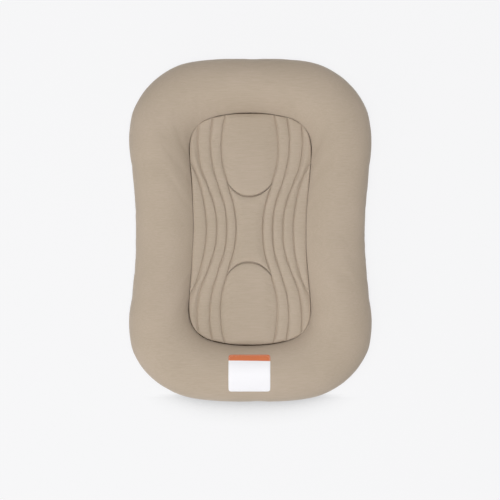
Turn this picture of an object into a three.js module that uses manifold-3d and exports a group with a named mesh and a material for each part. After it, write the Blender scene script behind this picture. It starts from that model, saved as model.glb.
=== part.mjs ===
// Infant lounger: a stuffed oval rim round a channel-quilted pad, in a cover that zips off underneath.
// Millimetres. +Z is up, +Y points to the head end and +X to the right, seen from above.
// The origin is on the floor, under the middle of the lounger.

import * as THREE from 'three';
import { mergeVertices } from 'three/addons/utils/BufferGeometryUtils.js';
import Module from 'manifold-3d';

const wasm = await Module();
wasm.setup();

// Overall sizes
const LENGTH = 740;
const HEAD_WIDTH = 520;
const FOOT_WIDTH = 514;
const WAIST_WIDTH = 492;
const RIM_HEIGHT = 90;
const RIM_WAIST_HEIGHT = 80;
const PAD_LENGTH = 505;
const PAD_WIDTH = 267;
const PAD_WAIST_WIDTH = 249;
const PAD_SHIFT = 2.7;

// Fabric, filling and the room between layers
const GAP = 0.3;
const OVERRUN = 5;
const COVER_THICKNESS = 1.2;
const LINER_THICKNESS = 0.8;
const BACKING_THICKNESS = 0.8;
const FOAM_THICKNESS = 25.4;
const PAD_THICKNESS = 15;
const PAD_EDGE_THICKNESS = 4;
const PAD_CLEARANCE = 1.2;
const CHANNEL_DEPTH = 5;
const PAD_SIDE_DROP = 3;
const CREASE_RISE = 2;
const WAIST_CREASE_RISE = 9;

// The rim's section
const SIDE_HEIGHT = 41;
const CAP_REACH = 10;

// The zip
const ZIP_LENGTH = 440;
const ZIP_WINDOW_CLEARANCE = 2;
const TAPE_WIDTH = 14;
const TAPE_THICKNESS = 0.6;
const CHAIN_WIDTH = 6;
const CHAIN_THICKNESS = 2.6;
const CHAIN_CHAMFER = 0.5;
const STOP_LENGTH = 3;
const STOP_WIDTH = 1.8;
const SLIDER_LENGTH = 13;
const SLIDER_WIDTH = 10;
const PLATE_THICKNESS = 1.2;
const FLANGE_WIDTH = 0.8;
const FLANGE_HEIGHT = 0.8;
const POST_LENGTH = 4;
const POST_WIDTH = 2.6;
const CROWN_LENGTH = 8;
const CROWN_WIDTH = 2;
const CROWN_THICKNESS = 0.9;
const CROWN_OPENING = 1.9;
const TAB_LENGTH = 24;
const TAB_WIDTH = 6.4;
const TAB_THICKNESS = 1.2;
const TAB_SLOT_WIDTH = 3;
const TAB_PIN_DIAMETER = 1.2;
const SLIDER_FLOOR_CLEARANCE = 1.8;
const PATCH_LENGTH = 18;
const PATCH_WIDTH = 26;
const PATCH_THICKNESS = 0.8;
const PATCH_RADIUS = 3;
const PATCH_OVERLAP = 6;

// The tag
const TAG_WIDTH = 89;
const TAG_LENGTH = 78;
const TAG_THICKNESS = 0.6;
const TAG_RADIUS = 5;

// Counts of faces
const STATIONS = 60;
const INNER_STEPS = 4;
const OUTER_STEPS = 4;
const TUCK_STEPS = 3;
const SEAM_STEP = 1;
const ROUND_SIDES = 8;
const CORNER_SIDES = 4;

// One quarter of the plan, from the waist to the end, as ribs across the rim. Each rib holds its outer end
// across and along, its end at the pad across and along, and how much of the waist's narrowing it takes.
const ribShares = [
  [1, 0, 1, 0, 1],
  [1, 0.175, 1, 0.232, 0.8],
  [1, 0.35, 1, 0.465, 0.35],
  [1, 0.501, 1, 0.663, 0],
  [0.989, 0.618, 0.984, 0.757, 0],
  [0.954, 0.711, 0.941, 0.826, 0],
  [0.863, 0.816, 0.848, 0.891, 0],
  [0.73, 0.904, 0.718, 0.938, 0],
  [0.552, 0.968, 0.555, 0.967, 0],
  [0.299, 0.995, 0.294, 0.992, 0],
  [0, 1, 0, 1, 0],
];

// The stitched seams of the pad, from the innermost out. Each row gives a seam's distance from the middle
// line, at even steps from the waist to its end. Each ends on the pad's outline at its share of a quarter.
const seamShares = [
  [0.22, 0.258, 0.364, 0.453, 0.458],
  [0.379, 0.413, 0.522, 0.618, 0.643],
  [0.546, 0.576, 0.683, 0.804, 0.851],
  [0.71, 0.723, 0.754, 0.806, 0.878],
];
const seamEndShares = [0.86, 0.77, 0.6, 0.25];

// The two seams that close the waist panel cross the middle line here, and join the innermost seams there.
const CROSS_SEAM_FROM_MIDDLE = 71;
const crossSeamShare = 0.4;
const crossSeamSideShare = 0.04;
const padEndShare = 0.85;
const bowPower = 6;
const rowShares = [0.12, 0.25, 0.36, 0.4, 0.44, 0.55, 0.7, 0.85, 0.95, 1];
const stripShares = [0.18, 0.5, 0.82, 1];
const panelShares = [0.3, 0.6, 0.86, 1];

// Shares of the rim's width: its crest, the run of the tuck below its side, and the flat band it stands on
const crestShare = 0.5;
const tuckShare = 0.31;
const soleShare = 0.39;
const fullness = 2.2;
const innerFullness = 2.4;

// Shares of the pad's half length: the crease is at its waist height up to the first, and level from the second
const waistCreaseShares = [0.42, 0.66];

// Heights above the floor, from the zip's slider up
const tapeHeight = SLIDER_FLOOR_CLEARANCE + CROWN_THICKNESS + CROWN_OPENING + PLATE_THICKNESS + GAP
  + CHAIN_THICKNESS / 2;
const plateHeight = CHAIN_THICKNESS / 2 + GAP;
const baseLift = tapeHeight - TAPE_THICKNESS / 2 - GAP - COVER_THICKNESS;
const linerLift = tapeHeight + plateHeight + PLATE_THICKNESS + GAP;
const foamBottom = linerLift + LINER_THICKNESS + GAP;
const linerTable = foamBottom + FOAM_THICKNESS + GAP + LINER_THICKNESS;
const backingBottom = linerTable + GAP;
const padBottom = backingBottom + BACKING_THICKNESS + GAP;
const creaseHeight = padBottom + CREASE_RISE;

const windowWidth = SLIDER_WIDTH + 2 * ZIP_WINDOW_CLEARANCE;
const sliderTailWidth = CHAIN_WIDTH + 2 * (GAP + FLANGE_WIDTH);

const linerDepth = COVER_THICKNESS + GAP;
const fillDepth = linerDepth + LINER_THICKNESS + GAP;

// Solids

function plain(geometry) {
  const bare = geometry.clone();
  bare.deleteAttribute('normal');
  bare.deleteAttribute('uv');
  return mergeVertices(bare);
}

function fromFaces(points, faces) {
  const geometry = new THREE.BufferGeometry();
  geometry.setAttribute('position', new THREE.Float32BufferAttribute(points.flat(), 3));
  geometry.setIndex(faces.flat());
  const merged = mergeVertices(geometry);
  const index = merged.getIndex().array;
  const kept = [];
  for (let i = 0; i < index.length; i += 3) {
    const [a, b, c] = [index[i], index[i + 1], index[i + 2]];
    if (a !== b && b !== c && c !== a) kept.push(a, b, c);
  }
  merged.setIndex(kept);
  merged.computeVertexNormals();
  return merged;
}

function toSolid(geometry) {
  const mesh = plain(geometry);
  return new wasm.Manifold(new wasm.Mesh({
    numProp: 3,
    vertProperties: new Float32Array(mesh.getAttribute('position').array),
    triVerts: new Uint32Array(mesh.getIndex().array),
  }));
}

function toGeometry(solid) {
  const mesh = solid.getMesh();
  const geometry = new THREE.BufferGeometry();
  geometry.setAttribute('position', new THREE.BufferAttribute(mesh.vertProperties, 3));
  geometry.setIndex(new THREE.BufferAttribute(mesh.triVerts, 1));
  geometry.computeVertexNormals();
  return geometry;
}

function boxBetween(low, high) {
  const size = high.map((value, i) => value - low[i]);
  const middle = high.map((value, i) => (value + low[i]) / 2);
  return new THREE.BoxGeometry(...size).translate(...middle);
}

function sideBox(side, [near, far], [back, front], [bottom, top]) {
  const [left, right] = [side * near, side * far].sort((a, b) => a - b);
  return boxBetween([left, back, bottom], [right, front, top]);
}

function roundedPlate(width, length, thickness, radius) {
  const [x, y] = [width / 2, length / 2];
  const shape = new THREE.Shape();
  shape.moveTo(x, radius - y);
  shape.absarc(x - radius, y - radius, radius, 0, Math.PI / 2);
  shape.absarc(radius - x, y - radius, radius, Math.PI / 2, Math.PI);
  shape.absarc(radius - x, radius - y, radius, Math.PI, Math.PI * 3 / 2);
  shape.absarc(x - radius, radius - y, radius, Math.PI * 3 / 2, Math.PI * 2);
  return new THREE.ExtrudeGeometry(shape, {
    depth: thickness, bevelEnabled: false, curveSegments: CORNER_SIDES,
  });
}

function platform(outline, bottom, top) {
  const shape = new THREE.Shape(outline.map((point) => new THREE.Vector2(point.x, point.y)));
  const geometry = new THREE.ExtrudeGeometry(shape, { depth: top - bottom, bevelEnabled: false });
  return geometry.translate(0, 0, bottom);
}

// The plan: two closed curves that run round together, one outside the rim and one along the crease at the
// pad. The outer curve's height is the rim's height there.

function planPoints(place) {
  const points = [];
  for (const [side, end] of [[1, 1], [-1, 1], [-1, -1], [1, -1]]) {
    const rows = ribShares.slice(0, -1);
    const falling = side * end < 0;
    const order = falling ? ribShares.slice(1).reverse() : rows;
    for (const row of order) points.push(place(row, side, end));
  }
  return points;
}

function outerRib([across, along, , , pinch], side, end) {
  const half = (end > 0 ? HEAD_WIDTH : FOOT_WIDTH) / 2;
  const height = RIM_HEIGHT - (RIM_HEIGHT - RIM_WAIST_HEIGHT) * pinch;
  const reach = half * across - (half - WAIST_WIDTH / 2) * pinch;
  return new THREE.Vector3(side * reach, end * along * LENGTH / 2, height);
}

function creaseRib([, , across, along, pinch], side, end) {
  const half = PAD_WIDTH / 2;
  const reach = half * across - (half - PAD_WAIST_WIDTH / 2) * pinch;
  return new THREE.Vector3(side * reach, end * along * PAD_LENGTH / 2, 0);
}

const outerCurve = new THREE.CatmullRomCurve3(planPoints(outerRib), true, 'catmullrom');
const creaseCurve = new THREE.CatmullRomCurve3(planPoints(creaseRib), true, 'catmullrom');

// How far the crease, and the pad's edge with it, is raised beside the waist

function creaseLift(y) {
  const [full, level] = waistCreaseShares.map((share) => share * PAD_LENGTH / 2);
  return WAIST_CREASE_RISE * (1 - THREE.MathUtils.smoothstep(Math.abs(y), full, level));
}

function makeStation(turn) {
  const outer = outerCurve.getPoint(turn);
  const { x, y } = creaseCurve.getPoint(turn);
  const [dx, dy] = [outer.x - x, outer.y - y - PAD_SHIFT];
  const width = Math.hypot(dx, dy);
  const place = { x, y: y + PAD_SHIFT, dx: dx / width, dy: dy / width };
  return { ...place, width, height: outer.z, crease: creaseHeight + creaseLift(y) };
}

const stations = Array.from({ length: STATIONS }, (_, i) => makeStation(i / STATIONS));

// The rim's section: points of distance out from the crease and height above the floor

function quarterArc(from, to, steps, steepFirst, power = fullness) {
  const points = [];
  for (let i = 1; i <= steps; i += 1) {
    const turn = i / steps * Math.PI / 2;
    const rising = Math.sin(turn) ** (2 / power);
    const falling = 1 - Math.abs(Math.cos(turn)) ** (2 / power);
    const [out, up] = steepFirst ? [falling, rising] : [rising, falling];
    points.push([from[0] + (to[0] - from[0]) * out, from[1] + (to[1] - from[1]) * up]);
  }
  return points;
}

function skinProfile(station) {
  const crease = [0, station.crease];
  const crest = [station.width * crestShare, station.height];
  const side = [station.width, SIDE_HEIGHT];
  const soleOuter = [station.width * (1 - tuckShare), 0];
  const soleInner = [station.width * (1 - tuckShare - soleShare), 0];
  return [
    crease,
    ...quarterArc(crease, crest, INNER_STEPS, true, innerFullness),
    ...quarterArc(crest, side, OUTER_STEPS, false),
    ...quarterArc(side, soleOuter, TUCK_STEPS, true),
    soleInner,
  ];
}

const seamIndex = INNER_STEPS + OUTER_STEPS + SEAM_STEP;

function inset(profile, depth) {
  return profile.map((point, i) => {
    const normals = [];
    for (const j of [i - 1, i]) {
      if (j < 0 || j + 1 >= profile.length) continue;
      const [a, b] = [profile[j], profile[j + 1]];
      const run = Math.hypot(b[0] - a[0], b[1] - a[1]);
      normals.push([(b[1] - a[1]) / run, (a[0] - b[0]) / run]);
    }
    const sum = [0, 1].map((axis) => normals.reduce((total, normal) => total + normal[axis], 0));
    const size = Math.hypot(...sum);
    const mitre = (sum[0] * normals[0][0] + sum[1] * normals[0][1]) / size;
    return [point[0] + sum[0] / size * depth / mitre, point[1] + sum[1] / size * depth / mitre];
  });
}

function startLater(profile, distance) {
  const [a, b] = profile;
  const share = distance / Math.hypot(b[0] - a[0], b[1] - a[1]);
  return [[a[0] + (b[0] - a[0]) * share, a[1] + (b[1] - a[1]) * share], ...profile.slice(1)];
}

function basePath(station) {
  return [...skinProfile(station), [0, baseLift], [-CAP_REACH, baseLift]];
}

function linerTopPath(station) {
  const flank = inset(skinProfile(station), linerDepth);
  return [[-CAP_REACH, linerTable], [flank[0][0], linerTable], ...flank];
}

function linerBasePath(station) {
  return [...inset(skinProfile(station), linerDepth), [0, linerLift], [-CAP_REACH, linerLift]];
}

function fillLoop(station) {
  const skin = inset(skinProfile(station), fillDepth);
  return [...skin, [skin[0][0], foamBottom]];
}

// The skins above and below the perimeter seam. Each is one loop: a ring's runs out along its outer side and
// back along its inner side, and the underside's starts at its middle.

const above = (path, seam) => path.slice(0, seam + 1);
const below = (path, seam) => startLater(path.slice(seam), GAP);

function upperLoop(path, thickness, seam) {
  return [...above(path, seam), ...above(inset(path, thickness), seam).reverse()];
}

function lowerLoop(path, thickness, seam) {
  return [...below(path, seam).reverse(), ...below(inset(path, thickness), seam)];
}

const firstHalf = (j, size) => j < size / 2;
const secondHalf = (j, size) => j >= size / 2;
const always = () => true;

function ringPoint(station, [out, up]) {
  return [station.x + station.dx * out, station.y + station.dy * out, up];
}

// Sweeps a loop round the stations. A closed loop makes a ring, and an open one a dish with flat caps.
// Layers that lie close together split their faces alike: runsOut tells where a loop runs outwards.

function sweep(loopOf, closed, runsOut) {
  const loops = stations.map(loopOf);
  const size = loops[0].length;
  const points = loops.flatMap((loop, i) => loop.map((point) => ringPoint(stations[i], point)));
  const faces = [];
  const last = closed ? size : size - 1;
  for (let i = 0; i < STATIONS; i += 1) {
    const next = (i + 1) % STATIONS;
    for (let j = 0; j < last; j += 1) {
      const above = (j + 1) % size;
      const [a, b, c, d] = [i * size + j, next * size + j, next * size + above, i * size + above];
      faces.push(...(runsOut(j, size) ? [[a, b, c], [a, c, d]] : [[a, b, d], [b, c, d]]));
    }
  }
  if (!closed) {
    for (const [j, flip] of [[0, false], [size - 1, true]]) {
      const rim = stations.map((station, i) => new THREE.Vector2(...points[i * size + j]));
      for (const face of THREE.ShapeUtils.triangulateShape(rim, [])) {
        const corners = face.map((i) => i * size + j);
        faces.push(flip ? corners : corners.reverse());
      }
    }
  }
  return outward(fromFaces(points, faces));
}

function outward(geometry) {
  const [position, index] = [geometry.getAttribute('position'), geometry.getIndex()];
  const corners = [0, 1, 2].map(() => new THREE.Vector3());
  let volume = 0;
  for (let i = 0; i < index.count; i += 3) {
    corners.forEach((corner, k) => corner.fromBufferAttribute(position, index.getX(i + k)));
    volume += corners[0].dot(corners[1].cross(corners[2]));
  }
  if (volume < 0) {
    index.array.reverse();
    geometry.computeVertexNormals();
  }
  return geometry;
}

function upperRing(pathOf, thickness) {
  return sweep((station) => upperLoop(pathOf(station), thickness, seamIndex), true, firstHalf);
}

function upperDish(pathOf, thickness) {
  const lead = pathOf(stations[0]).length - skinProfile(stations[0]).length;
  return sweep((station) => upperLoop(pathOf(station), thickness, seamIndex + lead), false, firstHalf);
}

function lowerDish(pathOf, thickness) {
  return sweep((station) => lowerLoop(pathOf(station), thickness, seamIndex), false, secondHalf);
}

// The quilted pad, in its own plan: seams across the middle of the lounger, rows along it

function outlinePoint(share) {
  const ribs = ribShares.length - 1;
  const count = ribs * 4;
  const point = creaseCurve.getPoint(((share * ribs + count) % count) / count);
  return point.multiplyScalar(1 - PAD_CLEARANCE / point.length());
}

const seams = seamShares.map((shares, i) => {
  const end = outlinePoint(seamEndShares[i]);
  const points = shares.map((share, row) => (
    new THREE.Vector2(share * PAD_WIDTH / 2, end.y * row / shares.length)
  ));
  points.push(new THREE.Vector2(end.x, end.y));
  const footward = points.slice(1).reverse().map((point) => new THREE.Vector2(point.x, -point.y));
  return new THREE.SplineCurve([...footward, ...points]);
});

function seamPoint(seam, row) {
  if (seam < seams.length) return seams[seam].getPoint((row + 1) / 2);
  return outlinePoint(row * seamEndShares.at(-1));
}

const mix = (from, to, share) => from + (to - from) * share;
const dome = (share) => Math.sqrt(1 - (1 - Math.min(1, share)) ** 2);

// A point of strip number strip, where strip 0 is half of the middle panel

function quiltPoint(strip, across, row) {
  const end = Math.sign(row);
  const size = Math.abs(row);
  const inner = strip > 0 ? seamPoint(strip - 1, row) : new THREE.Vector2(0, seamPoint(0, row).y);
  const outer = seamPoint(strip, row);
  let x = mix(inner.x, outer.x, across);
  let y = mix(inner.y, outer.y, across);
  if (strip === 0) {
    const dip = seamPoint(0, crossSeamShare).y - CROSS_SEAM_FROM_MIDDLE;
    const fade = Math.min(size / crossSeamShare, (1 - size) / (1 - crossSeamShare));
    y -= end * dip * fade * (1 - across ** 3);
  }
  if (size > 0) {
    const innerShare = strip > 0 ? seamEndShares[strip - 1] : 1;
    const outerShare = seamEndShares[Math.min(strip, seams.length - 1)];
    const innerEnd = strip > 0 ? outlinePoint(innerShare) : new THREE.Vector2(0, outlinePoint(outerShare).y);
    const outerEnd = outlinePoint(outerShare);
    const edge = outlinePoint(mix(innerShare, outerShare, across));
    const bow = size ** bowPower;
    x += bow * (edge.x - mix(innerEnd.x, outerEnd.x, across));
    y += end * bow * (edge.y - mix(innerEnd.y, outerEnd.y, across));
  }
  return [x, y, quiltHeight(strip, across, size, x, y)];
}

function quiltHeight(strip, across, size, x, y) {
  const edge = padBottom + PAD_EDGE_THICKNESS + creaseLift(y);
  const drop = PAD_SIDE_DROP * (x / (PAD_WIDTH / 2)) ** 2;
  const seam = padBottom + PAD_THICKNESS - CHANNEL_DEPTH - drop;
  const outermost = strip === seams.length;
  const base = outermost ? mix(seam, edge, across ** 2) : seam;
  let crown = dome(Math.min(across, 1 - across) * 2);
  if (strip === 0) {
    const fromCross = Math.abs(size - crossSeamShare) / crossSeamSideShare;
    crown = dome(1 - across) * dome(fromCross);
  }
  const fall = dome((1 - size) / (1 - padEndShare));
  return edge + (base - edge + CHANNEL_DEPTH * crown) * fall;
}

function quiltColumns() {
  const right = [];
  for (let strip = 0; strip <= seams.length; strip += 1) {
    for (const across of strip > 0 ? stripShares : panelShares) right.push([strip, across, 1]);
  }
  const left = right.map(([strip, across]) => [strip, across, -1]).reverse();
  return [...left, [0, 0, 1], ...right];
}

function quiltedPad() {
  const columns = quiltColumns();
  const rows = [...rowShares.map((share) => -share).reverse(), 0, ...rowShares];
  const top = rows.map((row) => columns.map(([strip, across, side]) => {
    const [x, y, z] = quiltPoint(strip, across, row);
    return [side * x, y, z];
  }));
  const points = top.flat();
  const faces = [];
  const width = columns.length;
  for (let j = 0; j + 1 < rows.length; j += 1) {
    for (let i = 0; i + 1 < width; i += 1) {
      const [a, b, c, d] = [j * width + i, j * width + i + 1, (j + 1) * width + i + 1, (j + 1) * width + i];
      const left = i < width / 2;
      faces.push(...(left ? [[a, b, c], [a, c, d]] : [[a, b, d], [b, c, d]]));
    }
  }
  const last = rows.length - 1;
  const border = [
    ...top[0].slice(0, -1),
    ...top.slice(0, -1).map((row) => row[width - 1]),
    ...top[last].slice(1).reverse(),
    ...top.slice(1).map((row) => row[0]).reverse(),
  ].filter(([x, y], i, all) => {
    const before = all[(i + all.length - 1) % all.length];
    return Math.hypot(x - before[0], y - before[1]) > GAP;
  });
  const start = points.length;
  points.push(...border, ...border.map(([x, y]) => [x, y, padBottom]));
  for (let i = 0; i < border.length; i += 1) {
    const next = (i + 1) % border.length;
    const [a, b] = [start + i, start + next];
    const [c, d] = [b + border.length, a + border.length];
    faces.push([a, d, b], [b, d, c]);
  }
  const floor = border.map(([x, y]) => new THREE.Vector2(x, y));
  for (const face of THREE.ShapeUtils.triangulateShape(floor, [])) {
    faces.push(face.map((i) => start + border.length + i).reverse());
  }
  return outward(fromFaces(points, faces));
}

// The underside, cut along the middle for the zip

function basePanel(side) {
  const dish = toSolid(lowerDish(basePath, COVER_THICKNESS));
  const tall = [-OVERRUN, RIM_HEIGHT + OVERRUN];
  const half = toSolid(sideBox(side, [GAP / 2, HEAD_WIDTH + FOOT_WIDTH], [-LENGTH, LENGTH], tall));
  const [across, along] = [windowWidth / 2, ZIP_LENGTH / 2];
  const window = toSolid(sideBox(side, [-across, across], [-along, along], tall));
  return toGeometry(dish.intersect(half).subtract(window));
}

// The zip lies along the middle of the underside. Its closed end is at the head.

const stopRoom = PATCH_OVERLAP + GAP + STOP_LENGTH + GAP;
const sliderFront = ZIP_LENGTH / 2 - stopRoom;
const chainHeadEnd = sliderFront - POST_LENGTH - GAP;
const chainFootEnd = stopRoom - ZIP_LENGTH / 2;
const sliderMiddle = sliderFront - SLIDER_LENGTH / 2;
const crownUnderside = -plateHeight - PLATE_THICKNESS - CROWN_OPENING - CROWN_THICKNESS;

function chainHalf(side) {
  const [low, high] = [GAP / 2, CHAIN_WIDTH / 2];
  const [flat, tall] = [CHAIN_THICKNESS / 2, CHAIN_THICKNESS / 2 - CHAIN_CHAMFER];
  const section = new THREE.Shape([
    [low, -tall], [low + CHAIN_CHAMFER, -flat], [high - CHAIN_CHAMFER, -flat], [high, -tall],
    [high, tall], [high - CHAIN_CHAMFER, flat], [low + CHAIN_CHAMFER, flat], [low, tall],
  ].map(([x, z]) => new THREE.Vector2(side * x, z)));
  const length = chainHeadEnd - chainFootEnd;
  const strip = new THREE.ExtrudeGeometry(section, { depth: length, bevelEnabled: false });
  return strip.rotateX(Math.PI / 2).translate(0, chainHeadEnd, tapeHeight);
}

function zipTape(side) {
  const inner = CHAIN_WIDTH / 2 + GAP;
  const half = (ZIP_LENGTH + PATCH_LENGTH) / 2;
  const [bottom, top] = [tapeHeight - TAPE_THICKNESS / 2, tapeHeight + TAPE_THICKNESS / 2];
  return sideBox(side, [inner, inner + TAPE_WIDTH], [-half, half], [bottom, top]);
}

function stop(side, across, back) {
  const [bottom, top] = [tapeHeight - CHAIN_THICKNESS / 2, tapeHeight + CHAIN_THICKNESS / 2];
  return sideBox(side, across, [back, back + STOP_LENGTH], [bottom, top]);
}

function topStop(side) {
  return stop(side, [CHAIN_WIDTH / 2 - STOP_WIDTH, CHAIN_WIDTH / 2], sliderFront + GAP);
}

function bottomStop() {
  return stop(1, [-CHAIN_WIDTH / 2, CHAIN_WIDTH / 2], chainFootEnd - GAP - STOP_LENGTH);
}

function sliderPlate(bottom) {
  const [front, tail, half] = [SLIDER_WIDTH / 2, sliderTailWidth / 2, SLIDER_LENGTH / 2];
  const shoulder = half - tail;
  const shape = new THREE.Shape([
    [-tail, -half], [tail, -half], [front, shoulder], [tail, half], [-tail, half], [-front, shoulder],
  ].map(([x, y]) => new THREE.Vector2(x, y)));
  const plate = new THREE.ExtrudeGeometry(shape, { depth: PLATE_THICKNESS, bevelEnabled: false });
  return toSolid(plate.translate(0, 0, bottom));
}

function sliderFlange(side, bottom) {
  const [tail, half] = [sliderTailWidth / 2, SLIDER_LENGTH / 2];
  const top = bottom + PLATE_THICKNESS + FLANGE_HEIGHT;
  return toSolid(sideBox(side, [tail - FLANGE_WIDTH, tail], [-half, half - tail], [bottom, top]));
}

// The slider about the middle of its chain channel: two plates, the post between them and the crown below

function zipSlider() {
  const lower = -plateHeight - PLATE_THICKNESS;
  const half = SLIDER_LENGTH / 2;
  let slider = sliderPlate(lower).add(sliderPlate(plateHeight));
  for (const side of [1, -1]) {
    slider = slider.add(sliderFlange(side, lower));
    slider = slider.add(sliderFlange(side, plateHeight - FLANGE_HEIGHT));
  }
  const post = new THREE.Shape([
    [-POST_WIDTH / 2, half], [0, half - POST_LENGTH], [POST_WIDTH / 2, half],
  ].map(([x, y]) => new THREE.Vector2(x, y)));
  const depth = 2 * plateHeight + PLATE_THICKNESS;
  const wedge = new THREE.ExtrudeGeometry(post, { depth, bevelEnabled: false });
  slider = slider.add(toSolid(wedge.translate(0, 0, -depth / 2)));
  const crown = toSolid(boxBetween(
    [-CROWN_WIDTH / 2, -CROWN_LENGTH / 2, crownUnderside],
    [CROWN_WIDTH / 2, CROWN_LENGTH / 2, lower + PLATE_THICKNESS / 2],
  ));
  const eye = toSolid(boxBetween(
    [-CROWN_WIDTH, CROWN_THICKNESS - CROWN_LENGTH / 2, crownUnderside + CROWN_THICKNESS],
    [CROWN_WIDTH, CROWN_LENGTH / 2 - CROWN_THICKNESS, lower],
  ));
  return toGeometry(slider.add(crown.subtract(eye)));
}

// The pull tab about its pin, lying back along the closed zip

function pullTab() {
  const [half, slot] = [TAB_WIDTH / 2, TAB_SLOT_WIDTH / 2];
  const eyeEnd = -(CROWN_LENGTH / 2 + 2 * CROWN_THICKNESS);
  const shape = new THREE.Shape();
  shape.moveTo(half, TAB_PIN_DIAMETER / 2);
  shape.lineTo(-half, TAB_PIN_DIAMETER / 2);
  shape.lineTo(-half, half - TAB_LENGTH);
  shape.absarc(0, half - TAB_LENGTH, half, Math.PI, Math.PI * 2);
  shape.lineTo(half, TAB_PIN_DIAMETER / 2);
  const hole = [[-slot, eyeEnd], [slot, eyeEnd], [slot, TAB_PIN_DIAMETER], [-slot, TAB_PIN_DIAMETER]];
  const blade = new THREE.ExtrudeGeometry(shape, {
    depth: TAB_THICKNESS, bevelEnabled: false, curveSegments: ROUND_SIDES,
  });
  const opening = new THREE.ExtrudeGeometry(
    new THREE.Shape(hole.map(([x, y]) => new THREE.Vector2(x, y))),
    { depth: 2 * TAB_THICKNESS, bevelEnabled: false },
  );
  const pin = new THREE.CylinderGeometry(
    TAB_PIN_DIAMETER / 2, TAB_PIN_DIAMETER / 2, 2 * half - TAB_THICKNESS, ROUND_SIDES,
  );
  const frame = toSolid(blade.translate(0, 0, -TAB_THICKNESS / 2))
    .subtract(toSolid(opening.translate(0, 0, -TAB_THICKNESS)));
  return toGeometry(frame.add(toSolid(pin.rotateZ(Math.PI / 2))));
}

function endPatch(end) {
  const patch = roundedPlate(PATCH_WIDTH, PATCH_LENGTH, PATCH_THICKNESS, PATCH_RADIUS);
  const middle = ZIP_LENGTH / 2 - PATCH_OVERLAP + PATCH_LENGTH / 2;
  return patch.translate(0, end * middle, baseLift - GAP - PATCH_THICKNESS);
}

// The tag lies on the crest at the foot end. It follows the cover's faces a little above them.
const tagMiddle = PAD_SHIFT * (1 - crestShare) - mix(PAD_LENGTH, LENGTH, crestShare) / 2;

function sewnTag() {
  const raised = (station) => inset(skinProfile(station), -GAP - TAG_THICKNESS);
  const shell = toSolid(upperRing(raised, TAG_THICKNESS));
  const block = roundedPlate(TAG_WIDTH, TAG_LENGTH, RIM_HEIGHT, TAG_RADIUS);
  const outline = toSolid(block.translate(0, tagMiddle, SIDE_HEIGHT));
  return toGeometry(shell.intersect(outline));
}

// Putting it together

function finish(colour, roughness, metalness) {
  return new THREE.MeshStandardMaterial({ color: colour, roughness, metalness });
}

const jersey = () => finish('#b6a696', 0.95, 0);
const lining = () => finish('#dcd6cc', 0.9, 0);
const wadding = () => finish('#f2efe9', 1, 0);
const satin = () => finish('#f4f3f6', 0.6, 0);
const plastic = () => finish('#9d8f80', 0.4, 0);
const metal = () => finish('#b9b7b2', 0.3, 1);

function piece(parent, name, geometry, material) {
  const mesh = new THREE.Mesh(geometry, material);
  mesh.name = name;
  parent.add(mesh);
  return mesh;
}

const group = new THREE.Group();
const cover = new THREE.Group();
const insert = new THREE.Group();
const zip = new THREE.Group();
group.add(cover, insert, zip);

const creaseOutline = stations.map((station) => new THREE.Vector2(station.x, station.y));

piece(cover, 'rim_cover', upperRing(skinProfile, COVER_THICKNESS), jersey());
piece(cover, 'quilted_pad', quiltedPad(), jersey()).position.y = PAD_SHIFT;
const backing = platform(creaseOutline, backingBottom, backingBottom + BACKING_THICKNESS);
piece(cover, 'pad_backing', backing, lining());
piece(cover, 'base_panel_left', basePanel(-1), jersey());
piece(cover, 'base_panel_right', basePanel(1), jersey());
piece(cover, 'sewn_tag', sewnTag(), satin());

piece(insert, 'liner_top', upperDish(linerTopPath, LINER_THICKNESS), lining());
piece(insert, 'liner_base', lowerDish(linerBasePath, LINER_THICKNESS), lining());
piece(insert, 'bolster_fill', sweep(fillLoop, true, always), wadding());
piece(insert, 'centre_foam', platform(creaseOutline, foamBottom, foamBottom + FOAM_THICKNESS), wadding());

for (const [name, side] of [['left', -1], ['right', 1]]) {
  piece(zip, `zip_tape_${name}`, zipTape(side), jersey());
  piece(zip, `zip_chain_${name}`, chainHalf(side), plastic());
  piece(zip, `zip_top_stop_${name}`, topStop(side), metal());
}
piece(zip, 'zip_bottom_stop', bottomStop(), metal());
piece(zip, 'zip_end_patch_head', endPatch(1), jersey());
piece(zip, 'zip_end_patch_foot', endPatch(-1), jersey());
piece(zip, 'zip_slider', zipSlider(), metal()).position.set(0, sliderMiddle, tapeHeight);
const pinHeight = tapeHeight + crownUnderside + CROWN_THICKNESS + CROWN_OPENING / 2;
piece(zip, 'zip_pull_tab', pullTab(), metal()).position.set(0, sliderMiddle, pinHeight);

export default group;
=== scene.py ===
import math

import bmesh
import bpy
import numpy as np
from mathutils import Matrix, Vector, noise
from mathutils.bvhtree import BVHTree


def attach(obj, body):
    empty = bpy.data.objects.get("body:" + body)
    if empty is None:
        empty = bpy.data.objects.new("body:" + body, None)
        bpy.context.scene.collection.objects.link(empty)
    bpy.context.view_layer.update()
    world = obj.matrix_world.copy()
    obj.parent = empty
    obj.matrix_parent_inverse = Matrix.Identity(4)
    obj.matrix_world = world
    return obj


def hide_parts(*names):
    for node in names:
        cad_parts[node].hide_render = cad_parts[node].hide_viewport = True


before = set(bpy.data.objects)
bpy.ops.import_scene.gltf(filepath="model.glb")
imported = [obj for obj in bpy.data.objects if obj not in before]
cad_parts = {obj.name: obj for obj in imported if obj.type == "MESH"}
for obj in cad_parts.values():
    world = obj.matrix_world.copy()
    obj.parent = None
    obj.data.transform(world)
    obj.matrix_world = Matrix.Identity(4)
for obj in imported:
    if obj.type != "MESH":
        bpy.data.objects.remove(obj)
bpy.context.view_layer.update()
scene = bpy.context.scene
scene.view_settings.view_transform = "Standard"
mm = 0.001
tiny = 1e-9
weldDistance = 1e-6
print("frame: loaded", len(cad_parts), "nodes")


def addObject(name, data):
    item = bpy.data.objects.new(name, data)
    scene.collection.objects.link(item)
    return item


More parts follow.
